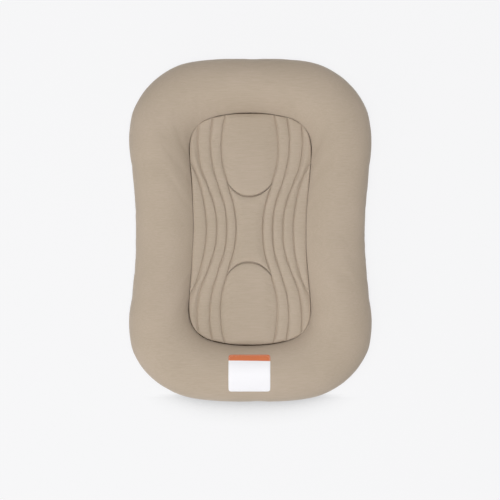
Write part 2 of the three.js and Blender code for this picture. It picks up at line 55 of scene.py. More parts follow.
# The camera looks straight down, with the lounger a little above the middle of the picture.
camera = {
    "pictureWidth": 1078.5,  # of what is seen at the height below
    "height": 50,
    "aim": (-1, -43),
    "lens": 100,
    "sensor": 36,
    "farthest": 100,  # in metres
}


def setCamera():
    data = bpy.data.cameras.new("camera")
    data.lens = camera["lens"]
    data.sensor_width = camera["sensor"]
    data.clip_end = camera["farthest"]
    scene.camera = addObject("camera", data)
    away = camera["pictureWidth"] * camera["lens"] / camera["sensor"]
    scene.camera.location = Vector((*camera["aim"], camera["height"] + away)) * mm


setCamera()


# Smooth curves through points

def throughPoints(before, a, b, after, t):
    leave, arrive = (b - before) / 2, (after - a) / 2
    curved = (2 * a - 2 * b + leave + arrive) * t ** 3 + (3 * b - 3 * a - 2 * leave - arrive) * t ** 2
    return curved + leave * t + a


def closedCurve(points, turns):
    place = np.asarray(turns, float) % 1 * len(points)
    first = np.floor(place).astype(int)
    t = (place - first).reshape(-1, *[1] * (points.ndim - 1))
    return throughPoints(*[points[(first + step) % len(points)] for step in (-1, 0, 1, 2)], t)


def openCurve(points, shares):
    last = len(points) - 1
    place = np.clip(shares, 0, 1) * last
    first = np.minimum(np.floor(place).astype(int), last - 1)
    t = (place - first).reshape(-1, *[1] * (points.ndim - 1))
    return throughPoints(*[points[np.clip(first + step, 0, last)] for step in (-1, 0, 1, 2)], t)


def mix(a, b, share):
    return a + (b - a) * share


def smoothStep(low, high, value):
    t = np.clip((np.asarray(value, float) - low) / (high - low), 0, 1)
    return t * t * (3 - 2 * t)


def fromEnds(count, share):
    # for each place in a row: 0 at either end of the row, and 1 further in than this share of half its length
    return smoothStep(0, share, 1 - np.abs(np.linspace(-1, 1, count)))


seedSteps = (7.3, 3.1, 5.7)


def lumps(points, form):
    # soft noise at each point, this many millimetres high, with features about this many millimetres across
    shift = Vector([form["seed"] * step for step in seedSteps])
    flat = np.reshape(points, (-1, 3)) / form["size"]
    values = [noise.noise(Vector(point) + shift) for point in flat]
    return np.reshape(values, np.shape(points)[:-1]) * form["height"]


# Meshes and materials

def welded(mesh, flatWithin=None):
    # joins points that lie on each other, and also flat neighbours where an angle is given
    build = bmesh.new()
    build.from_mesh(mesh)
    bmesh.ops.remove_doubles(build, verts=build.verts, dist=weldDistance)
    if flatWithin:
        bmesh.ops.dissolve_limit(build, angle_limit=flatWithin, verts=build.verts, edges=build.edges)
    build.to_mesh(mesh)
    build.free()


def newPiece(name, points, faces, material, smooth=True):
    mesh = bpy.data.meshes.new(name)
    mesh.from_pydata((np.reshape(points, (-1, 3)) * mm).tolist(), [], faces)
    welded(mesh)
    mesh.polygons.foreach_set("use_smooth", [smooth] * len(mesh.polygons))
    mesh.materials.append(material)
    return addObject(name, mesh)


def facesOf(*corners):
    return np.stack(corners, -1).reshape(-1, len(corners)).tolist()


def reversedFaces(faces):
    return [face[::-1] for face in faces]


def gridFaces(rows, columns, closed=False):
    first = np.arange(rows if closed else rows - 1)[:, None]
    here = first * columns + np.arange(columns - 1)
    ahead = (first + 1) % rows * columns + np.arange(columns - 1)
    return facesOf(here, here + 1, ahead + 1, ahead)


def thicken(piece, thickness):
    wall = piece.modifiers.new("cloth thickness", "SOLIDIFY")
    wall.thickness = thickness * mm
    wall.offset = -1
    return piece


def standFor(piece, node, body="lounger"):
    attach(piece, body)
    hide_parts(node)
    return piece


def toLinear(code):
    parts = [int(code[i:i + 2], 16) / 255 for i in (1, 3, 5)]
    return (*[c / 12.92 if c <= 0.04045 else ((c + 0.055) / 1.055) ** 2.4 for c in parts], 1)


def addNode(tree, kind, inputs={}, **settings):
    # each input is given a value, or is linked where another node's output is given
    node = tree.nodes.new(kind)
    for name, value in settings.items():
        setattr(node, name, value)
    for key, value in inputs.items():
        if isinstance(value, bpy.types.NodeSocket):
            tree.links.new(value, node.inputs[key])
        else:
            node.inputs[key].default_value = value
    return node


def clearTree(owner):
    owner.use_nodes = True
    owner.node_tree.nodes.clear()
    return owner.node_tree


def objectPlace(tree):
    return addNode(tree, "ShaderNodeTexCoord").outputs["Object"]


def calculate(tree, operation, value, other):
    return addNode(tree, "ShaderNodeMath", {0: value, 1: other}, operation=operation).outputs[0]


def blend(tree, a, b, share):
    return addNode(tree, "ShaderNodeMix", {0: share, 2: a, 3: b}, data_type="FLOAT").outputs[0]


def blendColors(tree, a, b, share):
    return addNode(tree, "ShaderNodeMix", {0: share, 6: a, 7: b}, data_type="RGBA").outputs[2]


def tint(tree, dark, light, share):
    return blendColors(tree, toLinear(dark), toLinear(light), share)


def startMaterial(name):
    material = bpy.data.materials.new(name)
    tree = clearTree(material)
    return material, tree, objectPlace(tree)


def finishMaterial(material, color, height, finish, depth):
    tree = material.node_tree
    bump = addNode(tree, "ShaderNodeBump", {"Strength": 1, "Distance": depth * mm, "Height": height})
    given = {"Base Color": color, "Normal": bump.outputs[0], **finish}
    shader = addNode(tree, "ShaderNodeBsdfPrincipled", given)
    addNode(tree, "ShaderNodeOutputMaterial", {"Surface": shader.outputs[0]})
    return material


def scaled(tree, place, scale):
    return addNode(tree, "ShaderNodeMapping", {"Vector": place, "Scale": scale}).outputs[0]


def spots(tree, place, size, detail=2):
    # noise whose features have this size in millimetres along x, y and z
    placed = scaled(tree, place, [1 / (part * mm) for part in size])
    spread = {"Vector": placed, "Scale": 1, "Detail": detail, "Roughness": look["noiseRoughness"]}
    return addNode(tree, "ShaderNodeTexNoise", spread).outputs[0]


def waves(tree, place, pitch, direction):
    # even waves, one every pitch millimetres; the texture itself has one in tau / 20 of a unit
    placed = scaled(tree, place, [math.tau / 20 / (pitch * mm)] * 3)
    return addNode(tree, "ShaderNodeTexWave", {"Vector": placed, "Scale": 1},
                   wave_type="BANDS", bands_direction=direction).outputs["Fac"]


# How the patterns are mixed: shares are of the second pattern, and parts are of a yarn's or thread's size
look = {
    "noiseRoughness": 0.55,
    "jersey": {"yarnParts": (4, 2, 2), "yarnShare": 0.35, "patches": (110, 90, 90), "patchDetail": 1,
               "patchShare": 0.3, "shades": {"From Min": 0.3, "From Max": 0.7}, "loopShare": 0.4,
               "finish": {"Roughness": 0.93, "Specular IOR Level": 0.25, "Sheen Roughness": 0.45}},
    "weave": {"slubs": (9, 2, 2), "slubShare": 0.4},
    "fibre": {"detail": 5, "clump": 6, "clumpShare": 0.4,
              "finish": {"Roughness": 1, "Specular IOR Level": 0.2, "Sheen Weight": 0.2}},
    "foam": {"Roughness": 0.95},
    "moulded": {"broad": 12, "broadShare": 0.5},
    "satin": {"bandEdge": 0.15, "floats": (8, 1, 1), "depth": 0.04,
              "finish": {"Roughness": 0.5, "Specular IOR Level": 0.4, "Sheen Weight": 0.1}},
}


def makeJersey(name, dark, light, slub, knit, depth, sheen):
    # Cotton jersey, circular knitted: thick and thin yarns leave faint lines across, over a fine even knit.
    material, tree, place = startMaterial(name)
    own = look["jersey"]
    lines = spots(tree, place, slub)
    yarn = spots(tree, place, [size / part for size, part in zip(slub, own["yarnParts"])])
    patches = spots(tree, place, own["patches"], own["patchDetail"])
    loops = blend(tree, waves(tree, place, knit, "X"), waves(tree, place, knit, "Y"), 0.5)
    shade = blend(tree, blend(tree, lines, yarn, own["yarnShare"]), patches, own["patchShare"])
    contrast = addNode(tree, "ShaderNodeMapRange", {"Value": shade, **own["shades"]}).outputs[0]
    height = blend(tree, lines, loops, own["loopShare"])
    finish = {**own["finish"], "Sheen Weight": sheen}
    return finishMaterial(material, tint(tree, dark, light, contrast), height, finish, depth)


def makeWoven(name, dark, light, thread, depth, finish):
    # A plain weave: warp and weft cross in small squares
    material, tree, place = startMaterial(name)
    crossing = calculate(tree, "MULTIPLY", waves(tree, place, thread, "X"), waves(tree, place, thread, "Y"))
    slubs = spots(tree, place, [thread * part for part in look["weave"]["slubs"]])
    cloth = blend(tree, crossing, slubs, look["weave"]["slubShare"])
    return finishMaterial(material, tint(tree, dark, light, cloth), cloth, finish, depth)


def makeFibre(name, dark, light, size, depth):
    # Loose siliconised polyester fibre: soft tangles with no grain
    material, tree, place = startMaterial(name)
    own = look["fibre"]
    clumps = spots(tree, place, [size * own["clump"]] * 3)
    tangle = blend(tree, spots(tree, place, [size] * 3, own["detail"]), clumps, own["clumpShare"])
    return finishMaterial(material, tint(tree, dark, light, tangle), tangle, own["finish"], depth)


def makeFoam(name, dark, light, cell, depth):
    # Open-cell polyurethane foam: small round pores
    material, tree, place = startMaterial(name)
    cells = addNode(tree, "ShaderNodeTexVoronoi", {"Vector": place, "Scale": 1 / (cell * mm)})
    pores = cells.outputs["Distance"]
    return finishMaterial(material, tint(tree, dark, light, pores), pores, look["foam"], depth)


def makeMoulded(name, dark, light, grain, depth, finish):
    # A moulded or die-cast surface: almost even, with a slight grain from the tool
    material, tree, place = startMaterial(name)
    own = look["moulded"]
    broad = spots(tree, place, [grain * own["broad"]] * 3)
    fine = blend(tree, spots(tree, place, [grain] * 3), broad, own["broadShare"])
    return finishMaterial(material, tint(tree, dark, light, fine), fine, finish, depth)


def makeTagSatin(name, white, band, bandFoot, slant, thread):
    # Woven polyester satin, printed with a plain band at its head end. The float threads run across it.
    material, tree, place = startMaterial(name)
    own = look["satin"]
    x, y, _ = addNode(tree, "ShaderNodeSeparateXYZ", {0: place}).outputs
    level = calculate(tree, "ADD", y, calculate(tree, "MULTIPLY", x, slant))
    start, end = [(bandFoot + step * own["bandEdge"]) * mm for step in (-1, 1)]
    edge = addNode(tree, "ShaderNodeMapRange", {"Value": level, "From Min": start, "From Max": end})
    floats = spots(tree, place, [thread * part for part in own["floats"]])
    color = blendColors(tree, tint(tree, *white, floats), tint(tree, *band, floats), edge.outputs[0])
    return finishMaterial(material, color, floats, own["finish"], own["depth"])


jersey = makeJersey("cotton jersey", "#AFA08D", "#BDAD9C", slub=(26, 1.8, 1.8), knit=1.1, depth=0.12,
                    sheen=0.18)
baseJersey = makeJersey("brushed tricot", "#A99A8A", "#B5A697", slub=(12, 1.5, 1.5), knit=0.9, depth=0.1,
                        sheen=0.12)
linerCloth = makeWoven("polycotton sheeting", "#CFC9BE", "#E2DDD4", thread=0.8, depth=0.08,
                       finish={"Roughness": 0.9})
tapeTwill = makeWoven("woven polyester tape", "#A1927F", "#B3A492", thread=0.9, depth=0.1,
                      finish={"Roughness": 0.7})
wadding = makeFibre("polyester fibre", "#E6E3DB", "#F7F5F0", size=3, depth=1)
foam = makeFoam("polyurethane foam", "#E2DDC8", "#F1EDDC", cell=1.2, depth=0.3)
thread = makeWoven("spun polyester thread", "#A39480", "#B8A996", thread=0.3, depth=0.05,
                   finish={"Roughness": 0.6})
# painted shade: a dark brown cloth for the bottom of the pad's crease, standing in for the shade in the fold
paintedCreaseShade = makeWoven("painted crease shade", "#43331F", "#55432D", thread=0.6, depth=0.05,
                        finish={"Roughness": 0.85})
whiteThread = makeWoven("white polyester thread", "#D9D8DA", "#F2F1F4", thread=0.3, depth=0.05,
                        finish={"Roughness": 0.55})
acetal = makeMoulded("moulded acetal", "#93867A", "#A39686", grain=0.6, depth=0.01,
                     finish={"Roughness": 0.35})
zinc = makeMoulded("lacquered zinc", "#AFADA8", "#C2C0BB", grain=0.5, depth=0.01,
                   finish={"Roughness": 0.32, "Metallic": 1})
print("materials: made", len(bpy.data.materials))


# The plan: an outer curve, and a crease where the rim meets the pad. Both start at the right of the waist.
plan = {
    "length": 740,
    "headWidth": 521,
    "footWidth": 516,
    "waistWidth": 494,
    "height": 90,
    "waistHeight": 77,
    "padLength": 505,
    "padWidth": 267,
    "padWaistWidth": 244.5,
    "padShift": 1.5,
    "padAcross": -1,
    # how much further left the pad is sewn: in its middle, to the foot, beside the waist and in its left half
    "lean": {
        "middle": 1.7,
        "foot": {"by": 1.6, "over": (0, -80)},
        "waist": {"by": 2.6, "over": (100, 20), "power": 8},
        "left": {"by": -1.7, "over": (-10, -60)},
    },
    # how far each stuffed corner bulges past an even oval, and the share of the length where the bulge starts
    "corners": {(1, 1): 1, (-1, 1): 3, (-1, -1): 7, (1, -1): 6.5},
    "cornerStart": 0.3,
}
# across and along at the outer edge, across and along at the crease, and share of the waist's narrowing
ribShares = np.array([
    [1, 0, 1, 0, 1],
    [1, 0.175, 1, 0.232, 0.8],
    [1, 0.35, 1, 0.465, 0.35],
    [1, 0.501, 1, 0.663, 0],
    [0.989, 0.618, 0.984, 0.757, 0],
    [0.954, 0.711, 0.941, 0.826, 0],
    [0.863, 0.816, 0.848, 0.891, 0],
    [0.73, 0.904, 0.718, 0.938, 0],
    [0.552, 0.968, 0.555, 0.967, 0],
    [0.299, 0.995, 0.294, 0.992, 0],
    [0, 1, 0, 1, 0],
])
# the side and the end of each quarter of a plan, as they come going round
quarters = ((1, 1), (-1, 1), (-1, -1), (1, -1))


def planPoints(place):
    points = []
    for side, end in quarters:
        order = ribShares[:-1] if side * end > 0 else ribShares[:0:-1]
        points += [place(rib, side, end) for rib in order]
    return np.array(points)


def outerRib(rib, side, end):
    half = (plan["headWidth"] if end > 0 else plan["footWidth"]) / 2
    reach = half * rib[0] - (half - plan["waistWidth"] / 2) * rib[4]
    height = mix(plan["height"], plan["waistHeight"], rib[4])
    start = plan["cornerStart"]
    bulge = plan["corners"][side, end] * math.sin(math.pi * np.clip((rib[1] - start) / (1 - start), 0, 1))
    away = np.array([reach, rib[1] * plan["length"] / 2])
    away = away + bulge * away / np.linalg.norm(away)
    return side * away[0], end * away[1], height


def creaseRib(rib, side, end):
    half = plan["padWidth"] / 2
    reach = half * rib[2] - (half - plan["padWaistWidth"] / 2) * rib[4]
    return side * reach, end * rib[3] * plan["padLength"] / 2


outerPoints = planPoints(outerRib)
creasePoints = planPoints(creaseRib)


def leanOf(name, value):
    part = plan["lean"][name]
    return part["by"] * smoothStep(*part["over"], value)


def sewnPlace(points):
    # where a point of the even pad lies once the pad is sewn in, a little askew
    x, y = points[..., 0], points[..., 1]
    out = np.minimum(np.abs(x) / (plan["padWidth"] / 2), 1)
    lean = plan["lean"]
    shift = lean["middle"] * (1 - out) + leanOf("foot", y)
    shift = shift + leanOf("waist", np.abs(y)) * out ** lean["waist"]["power"] + leanOf("left", x)
    placed = np.array(points)
    placed[..., 0] += plan["padAcross"] - shift
    placed[..., 1] += plan["padShift"]
    return placed


# The crease is a deep open fold at the pad's ends, shallow beside the waist and faint at three corners.
# Each row: degrees round from the right of the waist, how far the fold's lips are raised, and its gap.
creaseTurns, creaseLifts, creaseGaps = np.transpose([
    [0, 11, 0.3], [17, 11, 0.4], [29, 10, 1.4], [34, 8, 3],
    [40, 9, 1.3], [47, 10, 0.8], [60, 9, 1.7], [90, 7, 2.9],
    [120, 9, 1.7], [133, 11, 0.4], [140, 10, 0.7], [146, 7, 3.2],
    [156, 9, 2.1], [165, 11, 0.7], [190, 11, 0.3], [202, 10, 1.1],
    [209, 8, 2], [214, 6, 3.6], [221, 6, 2], [240, 4, 2.6],
    [270, 3, 3.4], [298, 4, 2.3], [314, 8, 0.3], [321, 8, 0.2],
    [327, 7, 2], [337, 9, 1.2], [350, 11, 0.7], [360, 11, 0.3],
])


def turnOf(x, y):
    # how far round the pad a point of its own plan lies, in degrees, as if the pad were square
    return np.degrees(np.arctan2(y / plan["padLength"], x / plan["padWidth"])) % 360


def creaseLift(x, y):
    return np.interp(turnOf(x, y), creaseTurns, creaseLifts)


def creaseGap(x, y):
    return np.interp(turnOf(x, y), creaseTurns, creaseGaps)


def stationsAt(turns):
    # places round the rim: where the crease is, which way and how far the outer edge lies, and their heights
    outer, evenCrease = closedCurve(outerPoints, turns), closedCurve(creasePoints, turns)
    crease = sewnPlace(evenCrease)
    across = outer[:, :2] - crease
    width = np.linalg.norm(across, axis=1)
    return {
        "crease": crease,
        "out": across / width[:, None],
        "width": width,
        "height": outer[:, 2],
        "lift": creaseLift(*evenCrease.T),
    }


def stationsRound(count):
    return stationsAt(np.arange(count) / count)


# The rim's section: distance out from the crease, and height above the floor
section = {
    "seamHeight": 39.8,
    "creaseHeight": 41.5,
    "sideHeight": 41,
    "crestShare": 0.5,
    "tuckShare": 0.31,
    "soleShare": 0.39,
    "fullness": 2.2,
    "innerFullness": {"head": 1.7, "foot": 2.1, "between": (-160, -90)},
    "hidden": 0.3,  # share of the inner wall's turn that the pad hides where the crease is shallowest
    "seamTurn": 1 / 3,
    "soleSteps": [0.33, 0.67, 1],
    "baseSteps": [0.3, 0.65, 1],
    "baseLift": 5.6,
}


def quarterArc(start, end, shares, steepFirst, fullness=section["fullness"], cut=0):
    # a quarter of a full round from start to end, less the first share of its turn
    turn, first = mix(cut, 1, np.asarray(shares)) * math.pi / 2, np.asarray(cut) * math.pi / 2
    power = 2 / fullness
    rising, below = np.sin(turn) ** power, np.sin(first) ** power
    falling, before = 1 - np.abs(np.cos(turn)) ** power, 1 - np.cos(first) ** power
    rising, falling = (rising - below) / (1 - below), (falling - before) / (1 - before)
    out, up = (falling, rising) if steepFirst else (rising, falling)
    return np.stack([mix(start[:, :1], end[:, :1], out), mix(start[:, 1:], end[:, 1:], up)], -1)


def sectionCorners(stations):
    width, height = stations["width"], stations["height"]
    even = np.ones_like(width)
    outerSole = 1 - section["tuckShare"]
    return {
        "crease": np.stack([0 * even, section["creaseHeight"] + stations["lift"]], -1),
        "crest": np.stack([width * section["crestShare"], height], -1),
        "side": np.stack([width, even * section["sideHeight"]], -1),
        "soleOuter": np.stack([width * outerSole, 0 * even], -1),
        "soleInner": np.stack([width * (outerSole - section["soleShare"]), 0 * even], -1),
        "base": np.stack([0 * even, even * section["baseLift"]], -1),
    }


def onPlan(stations, profile):
    flat = stations["crease"][:, None] + stations["out"][:, None] * profile[..., :1]
    return np.concatenate([flat, profile[..., 1:]], -1)


def skinRows(stations, inner, outer, tuck):
    corners = sectionCorners(stations)
    full = section["innerFullness"]
    full = mix(full["foot"], full["head"], smoothStep(*full["between"], stations["crease"][:, 1:]))
    cut = section["hidden"] * stations["lift"][:, None] / creaseLifts.max()
    rise = quarterArc(corners["crease"], corners["crest"], np.arange(inner + 1) / inner, True, full, cut)
    fall = quarterArc(corners["crest"], corners["side"], np.arange(1, outer + 1) / outer, False)
    turn = np.arange(1, tuck + 1) / tuck * section["seamTurn"]
    under = quarterArc(corners["side"], corners["soleOuter"], turn, True)
    return np.concatenate([rise, fall, under], 1)


def straightRows(corners, start, end, steps):
    return mix(corners[start][:, None], corners[end][:, None], np.array(steps)[:, None])


def underRows(stations, steps):
    # from the perimeter seam over the flat band to the crease
    corners = sectionCorners(stations)
    turn = mix(section["seamTurn"], 1, np.arange(steps + 1) / steps)
    tuck = quarterArc(corners["side"], corners["soleOuter"], turn, True)
    flat = straightRows(corners, "soleOuter", "soleInner", section["soleSteps"])
    slope = straightRows(corners, "soleInner", "base", section["baseSteps"])
    return np.concatenate([tuck, flat, slope], 1)


# Cloth: fabric pinned along its seams and pushed out by its filling

def puffUp(points, faces, pinned, filling):
    # points in a flat list; returns them as the filled cloth lies, none moved further than the cap
    kept, back = np.unique(np.round(points, 4), axis=0, return_inverse=True)
    back = back.reshape(-1)
    loops = [[int(i) for i in dict.fromkeys(back[face])] for face in np.array(faces)]
    mesh = bpy.data.meshes.new("filling")
    mesh.from_pydata((kept * mm).tolist(), [], [loop for loop in loops if len(loop) > 2])
    body = addObject("filling", mesh)
    seam = body.vertex_groups.new(name="seam")
    seam.add([int(i) for i in np.unique(back[pinned])], 1, "REPLACE")
    cloth = body.modifiers.new("cloth", "CLOTH")
    fabric = cloth.settings
    fabric.vertex_group_mass = "seam"
    fabric.use_pressure = True
    fabric.uniform_pressure_force = filling["pressure"]
    fabric.effector_weights.gravity = 0
    fabric.shrink_min = -filling["slack"]
    fabric.bending_stiffness = filling["stiffness"]
    cloth.collision_settings.use_collision = False
    cloth.point_cache.frame_start = 1
    cloth.point_cache.frame_end = filling["frames"]
    for step in range(1, filling["frames"] + 1):
        scene.frame_set(step)
    shown = body.evaluated_get(bpy.context.evaluated_depsgraph_get())
    moved = np.empty(len(kept) * 3)
    shown.data.vertices.foreach_get("co", moved)
    bpy.data.objects.remove(body)
    scene.frame_set(1)
    shift = moved.reshape(-1, 3) / mm - kept
    size = np.linalg.norm(shift, axis=1, keepdims=True)
    shift *= np.minimum(1, filling["cap"] / np.maximum(size, tiny))
    average, most = size.mean().round(2), size.max().round(1)
    print("  filled", len(kept), "points, moved", average, "mm on average, most", most)
    return points + shift[back]


def refine(grid, rows, columns, closed):
    # the same surface with more rows and columns, by smooth curves both ways
    if closed:
        grid = closedCurve(grid, np.arange(rows) / rows)
    else:
        grid = openCurve(grid, np.linspace(0, 1, rows))
    return openCurve(grid.swapaxes(0, 1), np.linspace(0, 1, columns)).swapaxes(0, 1)


def evenOut(values, times):
    # averages a ring of rows with its neighbours, again and again
    for _ in range(times):
        values = (np.roll(values, 1, 0) + 2 * values + np.roll(values, -1, 0)) / 4
        wide = np.pad(values, ((0, 0), (1, 1)), mode="edge")
        values = (wide[:, :-2] + 2 * values + wide[:, 2:]) / 4
    return values


def gridNormals(grid, closed):
    along = np.roll(grid, -1, 0) - np.roll(grid, 1, 0) if closed else np.gradient(grid, axis=0)
    normal = np.cross(np.gradient(grid, axis=1), along)
    return normal / np.maximum(np.linalg.norm(normal, axis=-1, keepdims=True), tiny)


# The rim's cover
rim = {
    "stations": 240,
    "inner": 14,
    "outer": 12,
    "tuck": 3,
    "thickness": 1.2,
    "filling": {"pressure": 4, "slack": 0.012, "stiffness": 0.8, "frames": 20, "cap": 12},
    "wrinkles": 0.45,  # share of the filled cloth's small folds that the stretched jersey keeps
    "evenness": 24,
    "deepest": 0.8,
    "lumps": [
        {"size": 120, "seed": 0, "height": 1.1},
        {"size": 38, "seed": 1, "height": 0.3},
        {"size": 9, "seed": 2, "height": 0.06},
    ],
    # at the foot end the cloth is gathered a little into its seam, in short folds square to the edge
    "gathers": {"size": 11, "seed": 9, "height": 0.35, "squeeze": (1, 0.12, 0.12), "over": (-322, -358)},
    "calmEnds": {"crease": 0.12, "seam": 0.9},
    "seamTuck": 1.6,
    "flat": (0.664, 0.901),
    "cutArea": 0.42,
}


def makeRimCover():
    stations = stationsRound(rim["stations"])
    grid = onPlan(stations, skinRows(stations, rim["inner"], rim["outer"], rim["tuck"]))
    rows, columns = grid.shape[:2]
    indices = np.arange(rows * columns).reshape(rows, columns)
    pinned = np.concatenate([indices[:, 0], indices[:, -1]])
    full = puffUp(grid.reshape(-1, 3), gridFaces(rows, columns, True), pinned, rim["filling"])
    # the filling holds the cover's form, so only the folds of the filled cloth are kept
    outward = gridNormals(grid, True)
    swell = ((full.reshape(grid.shape) - grid) * outward).sum(-1)
    folds = (swell - evenOut(swell, rim["evenness"])) * rim["wrinkles"]
    folds = np.clip(folds, -rim["deepest"], rim["deepest"])
    fine = refine(grid + outward * folds[..., None], rows * 2, columns * 2 - 1, True)
    share = np.linspace(0, 1, columns * 2 - 1)
    fade = smoothStep(0, rim["calmEnds"]["crease"], share) * smoothStep(1, rim["calmEnds"]["seam"], share)
    gathers = rim["gathers"]
    relief = sum(lumps(fine, form) for form in rim["lumps"])
    relief = relief + lumps(fine * gathers["squeeze"], gathers) * smoothStep(*gathers["over"], fine[..., 1])
    fine = fine + gridNormals(fine, True) * (relief * fade)[..., None]
    tucked = fine[:, -1:] - gridNormals(fine, True)[:, -1:] * rim["seamTuck"]
    # inside the fold the cover runs straight down to the seam that joins it to the pad
    sewn = fine[:, :1] * (1, 1, 0) + (0, 0, section["seamHeight"])
    fine = np.concatenate([sewn, mix(sewn, fine[:, :1], 0.5), fine, tucked], 1)
    piece = newPiece("rimCover", fine, gridFaces(*fine.shape[:2], True), jersey)
    return thicken(piece, rim["thickness"])


# The quilted pad, in its own plan: strips of wadding between seams that run lengthwise
pad = {
    "bottom": 39.5,
    "thickness": 15,
    "edge": 2,
    "ledge": 0.4,
    "channel": 5,
    "sideDrop": 0.5,
    "endShare": 0.955,
    "bowPower": 6,
    "crossSeam": 71,
    "crossShare": 0.4,
    "crossReach": 0.04,
    "crossPower": 2.3,
    "start": 0.85,
    "filling": {"pressure": 4, "slack": 0.004, "stiffness": 0.5, "frames": 20, "cap": 1.2},
    "puckers": {"size": 4.5, "seed": 3, "height": 0.15},
    "unevenness": {"size": 30, "seed": 4, "height": 0.25},
    "calmEnds": {"filling": 0.1, "along": 0.04, "across": 0.03},
    "drawnIn": 5,  # how far from a seam the cloth is drawn in
    "groove": {"depth": 1.2, "power": 4},
    # the seam right of the middle panels is drawn in deepest
    "rightSeam": {"deeper": 0.5, "from": (0, 15), "to": (68, 50)},
    "crossTightness": 1.45,
    "innerTightness": 1.15,
    "openFrom": 0.9,
    "borderPoints": 400,
    "stitchLift": 0.2,
}
# each seam's places across as shares of half the width, at even steps from the waist to its end
seamShares = [
    [0.22, 0.258, 0.364, 0.453, 0.458],
    [0.379, 0.413, 0.522, 0.618, 0.643],
    [0.546, 0.576, 0.683, 0.804, 0.851],
    [0.71, 0.723, 0.754, 0.806, 0.878],
]
# where each seam ends, as a share of the way round from the right of the waist to the pad's end
seamEnds = [0.86, 0.77, 0.6, 0.25]
stripColumns = [0.05, 0.14, 0.28, 0.5, 0.72, 0.86, 0.95, 1]
panelColumns = [0.08, 0.18, 0.3, 0.42, 0.54, 0.66, 0.78, 0.88, 0.95, 1]
# rows of points from the waist to the end: from and to, as shares of the way, and how many
rowParts = [(0, 0.36, 32), (0.36, 0.44, 16), (0.44, 0.955, 45), (0.955, 1, 9)]


def padOutline(share):
    return closedCurve(creasePoints, np.atleast_1d(share) / 4)


def seamCurve(number):
    end = padOutline(seamEnds[number])[0]
    shares = seamShares[number]
    points = [(share * plan["padWidth"] / 2, end[1] * row / len(shares)) for row, share in enumerate(shares)]
    points.append(tuple(end))
    footward = [(x, -y) for x, y in points[:0:-1]]
    return np.array(footward + points)


seamCurves = [seamCurve(number) for number in range(len(seamShares))]


def seamAt(number, rows):
    if number < len(seamCurves):
        return openCurve(seamCurves[number], (np.asarray(rows) + 1) / 2)
    return padOutline(np.asarray(rows) * seamEnds[-1])


def dome(share):
    return np.sqrt(1 - (1 - np.clip(share, 0, 1)) ** 2)


def quiltColumn(strip, across, rows):
    end, size = np.sign(rows), np.abs(rows)
    outer = seamAt(strip, rows)
    inner = seamAt(strip - 1, rows) if strip else outer * (0, 1)
    point = mix(inner, outer, across)
    if strip == 0:
        dip = seamAt(0, [pad["crossShare"]])[0, 1] - pad["crossSeam"]
        fade = np.minimum(size / pad["crossShare"], (1 - size) / (1 - pad["crossShare"]))
        point[:, 1] -= end * dip * fade * (1 - across ** pad["crossPower"])
    innerShare = seamEnds[strip - 1] if strip else 1
    outerShare = seamEnds[min(strip, len(seamEnds) - 1)]
    outerEnd = padOutline(outerShare)[0]
    innerEnd = padOutline(innerShare)[0] if strip else outerEnd * (0, 1)
    bow = padOutline(mix(innerShare, outerShare, across))[0] - mix(innerEnd, outerEnd, across)
    return point + (size ** pad["bowPower"])[:, None] * bow * np.stack([np.ones_like(rows), end], -1)


def quiltHeight(strip, across, size, x, y):
    edge = pad["bottom"] + pad["edge"] + creaseLift(x, y)
    drop = pad["sideDrop"] * (x / (plan["padWidth"] / 2)) ** 2
    seam = pad["bottom"] + pad["thickness"] - pad["channel"] - drop
    foot = mix(seam, edge, across ** 2) if strip == len(seamCurves) else seam
    crown = dome(min(across, 1 - across) * 2) * np.ones_like(size)
    if strip == 0:
        crown = dome(1 - across) * dome(np.abs(size - pad["crossShare"]) / pad["crossReach"])
    fall = dome((1 - size) / (1 - pad["endShare"]))
    return edge + (foot - edge + pad["channel"] * pad["start"] * crown) * fall


def closeness(away):
    # 1 on a seam, and 0 where it is too far off to draw the cloth in
    return np.clip(1 - away / pad["drawnIn"], 0, 1)


def padGrid():
    # x, y, height and closeness to a seam, which is more than 1 on the tighter seams round the middle panels,
    # and which of the points are stitched down
    sizes = np.unique(np.concatenate([np.linspace(start, end, n + 1) for start, end, n in rowParts]))
    rows = np.concatenate([-sizes[:0:-1], sizes])
    size = np.abs(rows)
    right = [(strip, across) for strip in range(len(seamCurves) + 1)
             for across in (stripColumns if strip else panelColumns)]
    columns = []
    for strip, across in right:
        x, y = quiltColumn(strip, across, rows).T
        width = seamAt(strip, rows)[:, 0] - (seamAt(strip - 1, rows)[:, 0] if strip else 0)
        near = closeness(width * (min(across, 1 - across) if strip else 1 - across))
        if strip == 0 or strip == 1 and across < 0.5:
            near = near * pad["innerTightness"]
        if strip == 0:
            toCross = np.abs(size - pad["crossShare"]) * plan["padLength"] / 2
            near = np.maximum(near, closeness(toCross) * pad["crossTightness"])
        columns.append(np.stack([x, y, quiltHeight(strip, across, size, x, y), near], -1))
    middle = columns[0] * (0, 1, 1, 1)
    middle[:, 1] = quiltColumn(0, 0, rows)[:, 1]
    middle[:, 2] = quiltHeight(0, 0, size, 0 * rows, middle[:, 1])
    left = [column * (-1, 1, 1, 1) for column in reversed(columns)]
    marks = [across == 1 for strip, across in right]
    inPanel = [strip == 0 for strip, across in right]
    stitched = np.zeros((len(rows), 2 * len(right) + 1), bool)
    stitched[:, marks[::-1] + [False] + marks] = True
    onCross = np.isclose(size, pad["crossShare"])
    stitched[np.ix_(onCross, inPanel[::-1] + [True] + inPanel)] = True
    stitched[[0, -1]] = True
    return np.stack([*left, middle, *columns], 1), stitched


